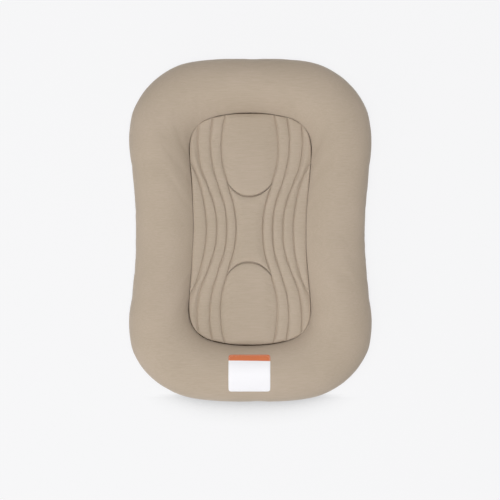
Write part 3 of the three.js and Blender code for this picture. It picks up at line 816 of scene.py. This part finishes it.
def openCrease(points):
    # draws the pad's border in from the rim by the crease's gap
    border = closedCurve(creasePoints, np.arange(pad["borderPoints"]) / pad["borderPoints"])
    turns = turnOf(*border.T)
    order = np.argsort(turns)
    x, y = points[..., 0], points[..., 1]
    reach = np.interp(turnOf(x, y), turns[order], np.linalg.norm(border, axis=1)[order], period=360)
    away = np.maximum(np.hypot(x, y), tiny)
    inset = creaseGap(x, y) * smoothStep(pad["openFrom"], 1, away / reach) / away
    return np.stack([x * (1 - inset), y * (1 - inset), points[..., 2]], -1)


def closeBelow(grid, seat, bottom):
    # a wall straight down from the grid's border, a ledge out to the seat's, and a floor
    rows, columns = grid.shape[:2]
    index = np.arange(rows * columns).reshape(rows, columns)
    border = np.concatenate([index[0, :-1], index[:-1, -1], index[-1, :0:-1], index[:0:-1, 0]])
    rings = [ring.reshape(-1, 3)[border] * (1, 1, 0) + (0, 0, height)
             for ring, height in ((grid, bottom + pad["ledge"]), (seat, bottom))]
    wallFoot = rows * columns + np.arange(len(border))
    lowest = wallFoot + len(border)
    faces = []
    for upper, lower in ((border, wallFoot), (wallFoot, lowest)):
        faces += facesOf(upper, lower, np.roll(lower, -1), np.roll(upper, -1))
    below = np.empty(rows * columns, int)
    below[border] = lowest
    left, right = below[index[:, 0]], below[index[:, -1]]
    faces += facesOf(left[:-1], left[1:], right[1:], right[:-1])
    faces += [below[index[0]].tolist(), below[index[-1, ::-1]].tolist()]
    return np.concatenate([grid.reshape(-1, 3), *rings]), faces


def makeQuiltedPad():
    grid, stitched = padGrid()
    rows, columns = grid.shape[:2]
    points = grid[..., :3].reshape(-1, 3)
    full = puffUp(points, gridFaces(rows, columns), np.flatnonzero(stitched), pad["filling"])
    calm = pad["calmEnds"]
    filled = (full.reshape(rows, columns, 3) - grid[..., :3]) * fromEnds(rows, calm["filling"])[:, None, None]
    full = np.concatenate([grid[..., :3] + filled, grid[..., 3:]], -1)
    fine = refine(full, rows * 2 - 1, columns * 2 - 1, False)
    points, near = sewnPlace(openCrease(fine[..., :3])), fine[..., 3]
    flank = np.clip(near * (1 - near), 0, 1) * 4
    pucker = lumps(points, pad["puckers"]) * flank + lumps(points, pad["unevenness"])
    pucker = pucker * fromEnds(rows * 2 - 1, calm["along"])[:, None]
    right, across = pad["rightSeam"], points[..., 0]
    deeper = 1 + right["deeper"] * smoothStep(*right["from"], across) * smoothStep(*right["to"], across)
    groove = near ** pad["groove"]["power"] * pad["groove"]["depth"] * deeper
    points[..., 2] += (pucker - groove) * fromEnds(columns * 2 - 1, calm["across"])
    closed, walls = closeBelow(points, sewnPlace(fine[..., :3]), pad["bottom"])
    piece = newPiece("quiltedPad", closed, gridFaces(*points.shape[:2]) + walls, jersey)
    # painted shade: the ledge at the bottom of the fold gets the dark brown cloth, so the crease looks shaded
    piece.data.materials.append(paintedCreaseShade)
    for face in piece.data.polygons:
        low = face.center.z / mm < pad["bottom"] + pad["ledge"] and face.normal.z > 0.5
        face.material_index = 1 if low else 0
    seams = [points[:, i * 2] for i in np.flatnonzero(stitched[1]) if 0 < i < columns - 1]
    middle, reach = columns - 1, 2 * len(panelColumns)
    cross = [i * 2 for i in np.flatnonzero(stitched[:, columns // 2]) if 0 < i < rows - 1]
    seams += [points[row, middle - reach:middle + reach + 1] for row in cross]
    return piece, [seam + (0, 0, pad["stitchLift"]) for seam in seams]


print("rim: filling the cover")
rimCover = standFor(makeRimCover(), "rim_cover")

print("pad: filling the strips")
quiltedPad, padSeams = makeQuiltedPad()
standFor(quiltedPad, "quilted_pad")


# What repeats along a line: stitches, and the teeth of the zip. Geometry Nodes sets them out.

def startNodes(name, *numbers):
    tree = bpy.data.node_groups.new(name, "GeometryNodeTree")
    tree.interface.new_socket(name="Geometry", in_out="OUTPUT", socket_type="NodeSocketGeometry")
    inputs = {"Geometry": "Geometry", "Material": "Material", **dict.fromkeys(numbers, "Float")}
    for label, kind in inputs.items():
        tree.interface.new_socket(name=label, in_out="INPUT", socket_type="NodeSocket" + kind)
    return tree, tree.nodes.new("NodeGroupInput").outputs


def setOut(tree, given, instance, turn):
    # copies of one shape along the lines, made real and given their material
    line = addNode(tree, "GeometryNodeMeshToCurve", {0: given["Geometry"]})
    spaced = {"Curve": line.outputs[0], "Length": given["Pitch"]}
    even = addNode(tree, "GeometryNodeResampleCurve", spaced, mode="LENGTH")
    copies = addNode(tree, "GeometryNodeInstanceOnPoints",
                     {"Points": even.outputs[0], "Instance": instance, "Rotation": turn})
    real = addNode(tree, "GeometryNodeRealizeInstances", {0: copies.outputs[0]})
    smooth = addNode(tree, "GeometryNodeSetShadeSmooth", {0: real.outputs[0]})
    made = addNode(tree, "GeometryNodeSetMaterial",
                   {"Geometry": smooth.outputs[0], "Material": given["Material"]})
    addNode(tree, "NodeGroupOutput", {0: made.outputs[0]})


def together(tree, parts):
    return addNode(tree, "ShaderNodeCombineXYZ", parts).outputs[0]


def makeStitchNodes():
    # one stitch: a short fat thread, rounded where it goes into the cloth
    tree, given = startNodes("stitches", "Pitch", "Length", "Thickness")
    ball = addNode(tree, "GeometryNodeMeshUVSphere", {"Segments": 6, "Rings": 4, "Radius": 0.5})
    size = together(tree, {0: given["Length"], 1: given["Thickness"], 2: given["Thickness"]})
    stitch = addNode(tree, "GeometryNodeTransform", {"Geometry": ball.outputs[0], "Scale": size})
    tangent = addNode(tree, "GeometryNodeInputTangent")
    turn = addNode(tree, "FunctionNodeAlignRotationToVector", {"Vector": tangent.outputs[0]}, axis="X")
    setOut(tree, given, stitch.outputs[0], turn.outputs[0])
    return tree


# A tooth: a foot that clamps the tape, a narrow neck, and a round head that catches between two others.
# Places and lengths are shares of its reach, breadths and the radius of the pitch, heights of its thickness.
tooth = {
    "blocks": [
        {"start": 0, "end": 0.42, "broad": 0.62, "tall": 1},
        {"start": 0.42, "end": 0.8, "broad": 0.34, "tall": 0.8},
    ],
    "head": {"middle": 0.85, "radius": 0.24, "tall": 0.9, "sides": 10},
}


def makeToothNodes():
    tree, given = startNodes("teeth", "Pitch", "Reach", "Thickness", "Turn")
    parts = addNode(tree, "GeometryNodeJoinGeometry")

    def part(name, share):
        return calculate(tree, "MULTIPLY", given[name], share)

    def addPart(shape, middle):
        place = together(tree, {0: part("Reach", -middle)})
        moved = addNode(tree, "GeometryNodeTransform", {"Geometry": shape, "Translation": place})
        tree.links.new(moved.outputs[0], parts.inputs[0])

    for block in tooth["blocks"]:
        long = part("Reach", block["end"] - block["start"])
        broad, tall = part("Pitch", block["broad"]), part("Thickness", block["tall"])
        cube = addNode(tree, "GeometryNodeMeshCube", {"Size": together(tree, {0: long, 1: broad, 2: tall})})
        addPart(cube.outputs[0], (block["start"] + block["end"]) / 2)
    head = tooth["head"]
    knob = addNode(tree, "GeometryNodeMeshCylinder", {
        "Vertices": head["sides"], "Side Segments": 1,
        "Depth": part("Thickness", head["tall"]), "Radius": part("Pitch", head["radius"]),
    })
    addPart(knob.outputs["Mesh"], head["middle"])
    setOut(tree, given, parts.outputs[0], together(tree, {2: given["Turn"]}))
    return tree


def setOutAlong(name, lines, tree, inputs):
    # lines: lists of points in millimetres; lengths among the inputs are in millimetres too
    points, edges = [], []
    for line in lines:
        edges += [(len(points) + i, len(points) + i + 1) for i in range(len(line) - 1)]
        points += [tuple(np.array(point) * mm) for point in line]
    mesh = bpy.data.meshes.new(name)
    mesh.from_pydata(points, edges, [])
    guide = addObject(name + "Guide", mesh)
    grow = guide.modifiers.new("set out", "NODES")
    grow.node_group = tree
    sockets = {item.name: item.identifier for item in tree.interface.items_tree if item.in_out == "INPUT"}
    for label, value in inputs.items():
        grow[sockets[label]] = value if label in ("Turn", "Material") else value * mm
    graph = bpy.context.evaluated_depsgraph_get()
    piece = addObject(name, bpy.data.meshes.new_from_object(guide.evaluated_get(graph), depsgraph=graph))
    bpy.data.objects.remove(guide)
    print("  set out", name, len(piece.data.polygons), "faces")
    return piece


stitchNodes = makeStitchNodes()
toothNodes = makeToothNodes()


def sew(name, lines, material, pitch, length, thickness):
    piece = setOutAlong(name, lines, stitchNodes, {
        "Pitch": pitch, "Length": length, "Thickness": thickness, "Material": material,
    })
    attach(piece, "lounger")


# Flat sewn pieces: a rounded outline filled with rings that shrink to its middle

cornerSteps = 8


def roundedOutline(width, length, radius, count):
    corners = []
    for number, (side, end) in enumerate(quarters):
        turn = (np.arange(cornerSteps + 1) / cornerSteps + number) * math.pi / 2
        middle = np.array([side * (width / 2 - radius), end * (length / 2 - radius)])
        corners.append(middle + radius * np.stack([np.cos(turn), np.sin(turn)], -1))
    path = np.concatenate([*corners, corners[0][:1]])
    along = np.concatenate([[0], np.cumsum(np.linalg.norm(np.diff(path, axis=0), axis=1))])
    wanted = np.arange(count) / count * along[-1]
    return np.stack([np.interp(wanted, along, path[:, axis]) for axis in (0, 1)], -1)


def ringFaces(count, rings):
    # faces from the outermost ring in, closed by a fan about the last point
    loops = np.arange(rings * count).reshape(rings, count)
    ahead = np.roll(loops, -1, 1)
    faces = facesOf(loops[:-1], ahead[:-1], ahead[1:], loops[1:])
    return faces + facesOf(loops[-1], ahead[-1], np.full(count, rings * count))


def ringPoints(outline, shares):
    return np.concatenate([*[outline * share for share in shares], [[0, 0]]])


def insetLine(outline, size, inset, placed):
    # a closed line of stitches this far inside a flat piece's edge
    line = [placed(x, y) for x, y in outline * [1 - 2 * inset / length for length in size]]
    return [[*line, line[0]]]


# The tag at the foot end, sewn down flat on the crest
tag = {
    "size": (89, 78),
    "radius": 5,
    "outlinePoints": 96,
    "thickness": 0.6,
    "lift": 0.75,
    "ripple": {"size": 17, "height": 0.25, "level": 3, "fade": 12},
    "aside": (-2.3, 4.6),  # sewn this far from the middle of its place
    "band": 12.4,
    "slant": 0.012,
    "white": ("#EFEEF1", "#F8F7FA"),
    "bandColors": ("#CF7145", "#DA7D50"),
    "thread": 0.25,
    "stitchInset": 2.2,
    "stitchLift": 0.12,
    "stitch": {"pitch": 3, "length": 2.3, "thickness": 0.45},
    "rings": [1, 0.985, 0.96, 0.93, 0.88, 0.8, 0.7, 0.6, 0.5, 0.4, 0.3, 0.2, 0.1],
}
tagMiddle = np.array([0, (plan["padShift"] - (plan["length"] + plan["padLength"]) / 2) / 2]) + tag["aside"]
# where a ray starts that feels a piece's top or its underside, in metres, and which way it goes
rays = {"top": (0.3, -1), "underside": (-0.1, 1)}


def heightsOn(piece, face):
    # the height of a piece's top, or of its underside, at any point of the plan, in millimetres
    tree = BVHTree.FromObject(piece, bpy.context.evaluated_depsgraph_get())
    start, way = rays[face]

    def heightAt(x, y):
        hit = tree.ray_cast(Vector((x * mm, y * mm, start)), Vector((0, 0, way)))[0]
        return hit.z / mm
    return heightAt


def makeTag(heightAt):
    outline = roundedOutline(*tag["size"], tag["radius"], tag["outlinePoints"])
    depths = np.concatenate([np.repeat(1 - np.array(tag["rings"]), len(outline)), [1]])
    ripple = tag["ripple"]
    points = []
    for (x, y), depth in zip(ringPoints(outline, tag["rings"]) + tagMiddle, depths):
        bump = noise.noise(Vector((x, y, ripple["level"])) / ripple["size"]) * ripple["height"]
        points.append((x, y, heightAt(x, y) + tag["lift"] + bump * min(1, depth * ripple["fade"])))
    bandFoot = tagMiddle[1] + tag["size"][1] / 2 - tag["band"]
    satin = makeTagSatin("woven satin tag", tag["white"], tag["bandColors"], bandFoot, tag["slant"],
                         tag["thread"])
    piece = newPiece("sewnTag", points, ringFaces(len(outline), len(tag["rings"])), satin)

    def stitchPlace(x, y):
        x, y = (x, y) + tagMiddle
        return x, y, heightAt(x, y) + tag["lift"] + tag["stitchLift"]

    line = insetLine(outline, tag["size"], tag["stitchInset"], stitchPlace)
    sew("tagStitches", line, whiteThread, **tag["stitch"])
    return thicken(piece, tag["thickness"])


print("tag: laid on the cover")
sewnTag = standFor(makeTag(heightsOn(rimCover, "top")), "sewn_tag")

# Stitches in the pad's seams
quilting = {"pitch": 3.6, "length": 2.7, "thickness": 0.5}
sew("quiltingStitches", padSeams, thread, **quilting)


# Inside the cover: the insert's casing, filling and foam, and the pad's backing
inside = {
    "stations": 120,
    "steps": {"inner": 10, "outer": 10, "tuck": 6},
    "seamStep": 22,  # the casing's top ends and its base starts at this step of the section
    "gap": 0.3,
    "cover": 1.2,
    "liner": 0.8,
    "backing": 0.8,
    "foam": 25.4,
    "linerLift": 10.5,
    "slack": 1.2,  # room for the cover's folds
    "foamOverlap": 2,
    "rings": [1, 0.85, 0.65, 0.4, 0.15],
}
foamBottom = inside["linerLift"] + inside["liner"] + inside["gap"]
tableHeight = foamBottom + inside["foam"] + inside["gap"] + inside["liner"]
backingBottom = tableHeight + inside["gap"]


def insetRows(rows, depth):
    # the section moved inwards by this depth, square to its own line
    run = np.gradient(rows, axis=1)
    square = np.stack([run[..., 1], -run[..., 0]], -1)
    return rows + square / np.linalg.norm(square, axis=-1, keepdims=True) * depth


def wholeSection(stations, inner, outer, tuck):
    corners = sectionCorners(stations)
    skin = skinRows(stations, inner, outer, 1)[:, :-1]
    under = quarterArc(corners["side"], corners["soleOuter"], np.arange(1, tuck + 1) / tuck, True)
    return np.concatenate([skin, under, corners["soleInner"][:, None]], 1)


def capPoints(stations, height):
    middle = np.array([plan["padAcross"], plan["padShift"]])
    rings = [np.append(middle + (point - middle) * share, height)
             for share in inside["rings"] for point in stations["crease"]]
    return np.concatenate([rings, [[*middle, height]]])


def makeDish(name, stations, profile, height, upward):
    # a swept section of the casing, closed across the middle at one height
    loop = onPlan(stations, profile)
    rows, columns = loop.shape[:2]
    cap = [[rows * columns + i for i in face] for face in ringFaces(rows, len(inside["rings"]))]
    faces = reversedFaces(gridFaces(rows, columns, True) + cap)
    points = np.concatenate([loop.reshape(-1, 3), capPoints(stations, height)])
    piece = newPiece(name, points, faces, linerCloth)
    if upward:
        for face in piece.data.polygons:
            face.flip()
    return thicken(piece, inside["liner"])


def makeRing(name, loop, material):
    # sweeps a closed loop of the section round the rim
    rows, columns = loop.shape[:2]
    first = np.arange(rows) * columns
    ahead = np.roll(first, -1)
    seam = facesOf(first + columns - 1, first, ahead, ahead + columns - 1)
    return newPiece(name, loop, gridFaces(rows, columns, True) + seam, material)


def makeSlab(name, stations, bottom, thickness, material):
    low, high = capPoints(stations, bottom), capPoints(stations, bottom + thickness)
    count = len(stations["crease"])
    faces = ringFaces(count, len(inside["rings"]))
    raised = [[len(low) + i for i in face] for face in faces]
    here = np.arange(count)
    ahead = np.roll(here, -1)
    wall = facesOf(here, ahead, len(low) + ahead, len(low) + here)
    return newPiece(name, np.concatenate([low, high]), reversedFaces(faces) + raised + wall, material)


def makeInsert():
    stations = stationsRound(inside["stations"])

    def toward(height, reach):
        return np.broadcast_to([reach, height], (inside["stations"], 1, 2))

    around = wholeSection(stations, **inside["steps"])
    linerDepth = inside["cover"] + inside["gap"] + inside["slack"]
    skin = insetRows(around, linerDepth)
    fill = insetRows(around, linerDepth + inside["liner"] + inside["gap"])
    seam = inside["seamStep"]
    top = np.concatenate([toward(tableHeight, 0), skin[:, 1:seam + 1]], 1)
    piece = makeDish("linerTop", stations, top, tableHeight, True)
    standFor(piece, "liner_top")
    low = np.concatenate([skin[:, seam:], toward(inside["linerLift"], 0)], 1)[:, ::-1]
    piece = makeDish("linerBase", stations, low, inside["linerLift"], False)
    standFor(piece, "liner_base")
    ring = np.concatenate([fill[:, 1:], toward(foamBottom, inside["foamOverlap"])], 1)
    fibre = makeRing("bolsterFill", onPlan(stations, ring), wadding)
    standFor(fibre, "bolster_fill")
    slab = makeSlab("centreFoam", stations, foamBottom, inside["foam"], foam)
    standFor(slab, "centre_foam")
    back = makeSlab("padBacking", stations, backingBottom, inside["backing"], linerCloth)
    standFor(back, "pad_backing")


print("insert: casing, filling and foam")
makeInsert()


# The underside: two halves of the cover that meet along the middle, where the zip is set in
base = {
    "thickness": 1.2,
    "gap": 0.3,
    "meets": 0.9,  # past this share of the way to an end, the two halves are drawn to the middle line
    "window": 14,
    "windowLength": 440,
    "windowEnd": (1, -3),
    "stations": 200,
    "tuckSteps": 7,
    "middle": [0.12, 0.3, 0.5, 0.7, 0.86, 0.96, 1],
    "relief": {"size": 45, "seed": 7, "height": 0.35},
    "calmEdge": 0.2,
    "hem": {"inset": 2.2, "reach": 210, "points": 120, "sunk": 0.1},
    "stitch": {"pitch": 3.2, "length": 2.4, "thickness": 0.4},
    "seamTuck": 1.6,
}


def makeBasePanel(name, side):
    turns = np.linspace(-0.25, 0.25, base["stations"] + 1) + (0 if side > 0 else 0.5)
    stations = stationsAt(turns)
    grid = onPlan(stations, underRows(stations, base["tuckSteps"]))
    half = np.linspace(-1, 1, len(grid))
    for last, near in ((0, smoothStep(-base["meets"], -1, half)), (-1, smoothStep(base["meets"], 1, half))):
        grid[..., 0] += near[:, None] * (side * base["gap"] / 2 - grid[last, :, 0])
    end = grid[:, -1]
    opened = smoothStep(*[base["windowLength"] / 2 + step for step in base["windowEnd"]], np.abs(end[:, 1]))
    hem = side * mix(base["gap"] / 2, base["window"] / 2, opened)
    inwards = [np.stack([mix(end[:, 0], hem, share), end[:, 1], end[:, 2]], -1) for share in base["middle"]]
    grid = np.concatenate([grid, np.stack(inwards, 1)], 1)
    grid[..., 0] = side * np.maximum(side * grid[..., 0], base["gap"] / 2)
    relief = lumps(grid, base["relief"]) * smoothStep(0, base["calmEdge"], np.linspace(0, 1, grid.shape[1]))
    grid[..., 2] = np.maximum(grid[..., 2] + relief * (grid[..., 2] < section["baseLift"] + 1), 0)
    tucked = grid[:, :1] - gridNormals(grid, False)[:, :1] * base["seamTuck"]
    grid = np.concatenate([tucked, grid], 1)
    piece = newPiece(name, grid, gridFaces(*grid.shape[:2]), baseJersey)
    heightAt, stitches = heightsOn(piece, "underside"), base["hem"]
    x = side * (base["window"] / 2 + stitches["inset"])
    line = [(x, y, heightAt(x, y) - stitches["sunk"])
            for y in np.linspace(-stitches["reach"], stitches["reach"], stitches["points"])]
    return thicken(piece, base["thickness"]), line


print("base: two halves and the zip")
sides = {"left": -1, "right": 1}
hemLines = []
for name, side in sides.items():
    panel, line = makeBasePanel("basePanel" + name.capitalize(), side)
    hemLines.append(line)
    standFor(panel, "base_panel_" + name)
sew("zipStitches", hemLines, thread, **base["stitch"])

# The zip: two tapes, two rows of teeth, metal stops, a patch over each end, and the slider with its pull tab
zipper = {
    "height": 7.4,
    "chainEdge": 3,
    "tape": {"gap": 0.3, "width": 14, "length": 458, "thickness": 0.6, "columns": 9, "rows": 120,
             "ripple": 0.08, "rippleLength": 9},
    "teeth": {"pitch": 2.1, "reach": 3.5, "thickness": 2.5, "head": 206.1, "foot": -210.4, "footRoom": 0.3},
    "patch": {"size": (26, 18), "radius": 3, "thickness": 0.8, "middle": 223, "lowest": 4.5,
              "outlinePoints": 64, "rings": [1, 0.97, 0.92, 0.8, 0.6, 0.35], "sag": [0.35, 0.12, 0, 0, 0, 0],
              "stitchInset": 1.8, "stitchSunk": 0.05},
    "patchStitch": {"pitch": 2.4, "length": 1.8, "thickness": 0.4},
    # the metal parts' edges are rounded where they are sharper than this; both angles are in radians
    "edges": {"width": 0.14, "segments": 2, "flatWithin": 0.01, "sharperThan": math.radians(35)},
}


def makeTape(name, side):
    tape = zipper["tape"]
    rows, columns = tape["rows"], tape["columns"]
    inner = zipper["chainEdge"] + tape["gap"]
    across = np.linspace(inner, inner + tape["width"], columns)
    along = np.linspace(-tape["length"] / 2, tape["length"] / 2, rows)[:, None]
    ripple = tape["ripple"] * np.sin(along / tape["rippleLength"]) * np.linspace(0, 1, columns) ** 2
    x, y = np.broadcast_arrays(side * across, along)
    grid = np.stack([x, y, zipper["height"] - tape["thickness"] / 2 + ripple], -1)
    grid = grid[:, ::-1] if side > 0 else grid
    return thicken(newPiece(name, grid, gridFaces(rows, columns), tapeTwill), tape["thickness"])


def makeTeeth(name, side):
    teeth = zipper["teeth"]
    start = teeth["head"] - teeth["pitch"] * (0.5 if side > 0 else 1)
    count = int((start - teeth["foot"]) / teeth["pitch"] - teeth["footRoom"])
    line = [(side * zipper["chainEdge"], start - teeth["pitch"] * i, zipper["height"]) for i in (0, count)]
    return setOutAlong(name, [line], toothNodes, {
        "Pitch": teeth["pitch"], "Reach": teeth["reach"], "Thickness": teeth["thickness"],
        "Turn": 0 if side > 0 else math.pi, "Material": acetal,
    })


def makePatch(name, end):
    patch = zipper["patch"]
    count, rings = patch["outlinePoints"], patch["rings"]
    outline = roundedOutline(*patch["size"], patch["radius"], count)
    flat = ringPoints(outline, rings) + (0, end * patch["middle"])
    sag = np.concatenate([np.repeat(patch["sag"], count), [0]])
    points = np.column_stack([flat, patch["lowest"] + sag])

    def stitchPlace(x, y):
        return x, y + end * patch["middle"], patch["lowest"] + patch["stitchSunk"]

    line = insetLine(outline, patch["size"], patch["stitchInset"], stitchPlace)
    sew(name + "Stitches", line, thread, **zipper["patchStitch"])
    faces = reversedFaces(ringFaces(count, len(rings)))
    return thicken(newPiece(name, points, faces, baseJersey), patch["thickness"])


def roundEdges(node, name, material):
    # a copy of a rigid CAD solid with its loose triangles joined and its edges softened
    rounding = zipper["edges"]
    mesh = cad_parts[node].data.copy()
    welded(mesh, rounding["flatWithin"])
    mesh.materials.clear()
    mesh.materials.append(material)
    mesh.polygons.foreach_set("use_smooth", [False] * len(mesh.polygons))
    piece = addObject(name, mesh)
    edge = piece.modifiers.new("softened edges", "BEVEL")
    edge.width = rounding["width"] * mm
    edge.segments = rounding["segments"]
    edge.limit_method = "ANGLE"
    edge.angle_limit = rounding["sharperThan"]
    return piece


for name, side in sides.items():
    title = name.capitalize()
    tapePiece = standFor(makeTape("zipTape" + title, side), "zip_tape_" + name)
    standFor(makeTeeth("zipChain" + title, side), "zip_chain_" + name)
for name, end in (("head", 1), ("foot", -1)):
    title = "zipEndPatch" + name.capitalize()
    patchPiece = standFor(makePatch(title, end), "zip_end_patch_" + name)
for node, body in (("zip_top_stop_left", "lounger"), ("zip_top_stop_right", "lounger"),
                   ("zip_bottom_stop", "lounger"), ("zip_slider", "slider"), ("zip_pull_tab", "pull_tab")):
    first, *words = node.split("_")
    metalPiece = roundEdges(node, first + "".join(word.capitalize() for word in words), zinc)
    standFor(metalPiece, node, body)


# The studio: a pale floor, a broad light overhead, a weaker one low on the left, and white walls all round
studio = {
    "walls": 0.5,
    "ceiling": 0.065,
    "backdrop": "#F7F7F8",
    "floor": {"reach": 30, "drop": 0.1},  # the reach in metres
    "glow": 0.92,  # how much of the floor's light is its own, as the camera sees it
    # Painted shadow: the floor's own glow is dimmed by the share of the sky that the floor sees within this
    # reach, from where it looks dark to where it looks clear.
    # The clear share changes past the foot end, between two places along the lounger, which paints a wider
    # shadow there.
    "shadow": {
        "reach": 90, "dark": 0.36, "clear": 0.5, "clearAtFoot": 0.8, "footEnd": (-368, -350),
        "darkest": 0.3,  # how bright the floor is where it looks dark
        "samples": 8,
    },
    "lamps": {
        "top": {"place": (-0.2, -0.05, 3), "size": 2.0, "power": 67},
        "side": {"place": (-1.5, -2.26, 1.3), "size": 2.0, "power": 21},
    },
}


def addLamp(name, lamp):
    data = bpy.data.lights.new(name, "AREA")
    data.shape = "DISK"
    data.size = lamp["size"]
    data.energy = lamp["power"]
    light = addObject(name, data)
    light.location = lamp["place"]
    light.rotation_euler = (-Vector(lamp["place"])).to_track_quat("-Z", "Y").to_euler()
    light.visible_camera = False


def seenDirectly(tree):
    # 1 for what the camera sees, also by reflection or through glass
    path = addNode(tree, "ShaderNodeLightPath").outputs
    either = calculate(tree, "MAXIMUM", path["Is Camera Ray"], path["Is Glossy Ray"])
    return calculate(tree, "MAXIMUM", either, path["Is Transmission Ray"])


def finishStudio(tree, output, lit, shown, share):
    # the share is how much of what the camera sees is the shown shader
    both = addNode(tree, "ShaderNodeMixShader", {0: share, 1: lit.outputs[0], 2: shown.outputs[0]})
    addNode(tree, output, {"Surface": both.outputs[0]})


def setSky():
    scene.world = bpy.data.worlds.new("surround")
    tree = clearTree(scene.world)
    level = addNode(tree, "ShaderNodeSeparateXYZ", {0: objectPlace(tree)}).outputs[2]
    strength = addNode(tree, "ShaderNodeMapRange", {
        "Value": level, "To Min": studio["walls"], "To Max": studio["ceiling"],
    }, interpolation_type="SMOOTHSTEP").outputs[0]
    even = addNode(tree, "ShaderNodeBackground", {"Color": (1, 1, 1, 1), "Strength": strength})
    shown = addNode(tree, "ShaderNodeBackground", {"Color": toLinear(studio["backdrop"]), "Strength": 1})
    finishStudio(tree, "ShaderNodeOutputWorld", even, shown, seenDirectly(tree))


def makeFloorMaterial():
    # the camera sees the floor almost evenly lit, but for painted shade under the rim and a painted shadow
    # past the foot end, both dimming the floor's glow
    material, tree, place = startMaterial("pale floor")
    shadow = studio["shadow"]
    pale = {"Color": toLinear(studio["backdrop"])}
    along = addNode(tree, "ShaderNodeSeparateXYZ", {0: place}).outputs[1]
    start, end = shadow["footEnd"]
    clear = addNode(tree, "ShaderNodeMapRange", {
        "Value": along, "From Min": start * mm, "From Max": end * mm,
        "To Min": shadow["clearAtFoot"], "To Max": shadow["clear"],
    }, interpolation_type="SMOOTHSTEP").outputs[0]
    near = {"Distance": shadow["reach"] * mm}
    sky = addNode(tree, "ShaderNodeAmbientOcclusion", near, samples=shadow["samples"]).outputs["AO"]
    level = addNode(tree, "ShaderNodeMapRange", {
        "Value": sky, "From Min": shadow["dark"], "From Max": clear, "To Min": shadow["darkest"],
    }).outputs[0]
    matte = addNode(tree, "ShaderNodeBsdfDiffuse", pale)
    glow = addNode(tree, "ShaderNodeEmission", {**pale, "Strength": level})
    share = calculate(tree, "MULTIPLY", seenDirectly(tree), studio["glow"])
    finishStudio(tree, "ShaderNodeOutputMaterial", matte, glow, share)
    return material


def addFloor():
    reach, level = studio["floor"]["reach"] / mm, -studio["floor"]["drop"]
    corners = [(-reach, -reach, level), (reach, -reach, level), (reach, reach, level), (-reach, reach, level)]
    newPiece("floor", corners, [[0, 1, 2, 3]], makeFloorMaterial(), smooth=False)


for name, lamp in studio["lamps"].items():
    addLamp(name, lamp)
setSky()
addFloor()
print("studio: lit")
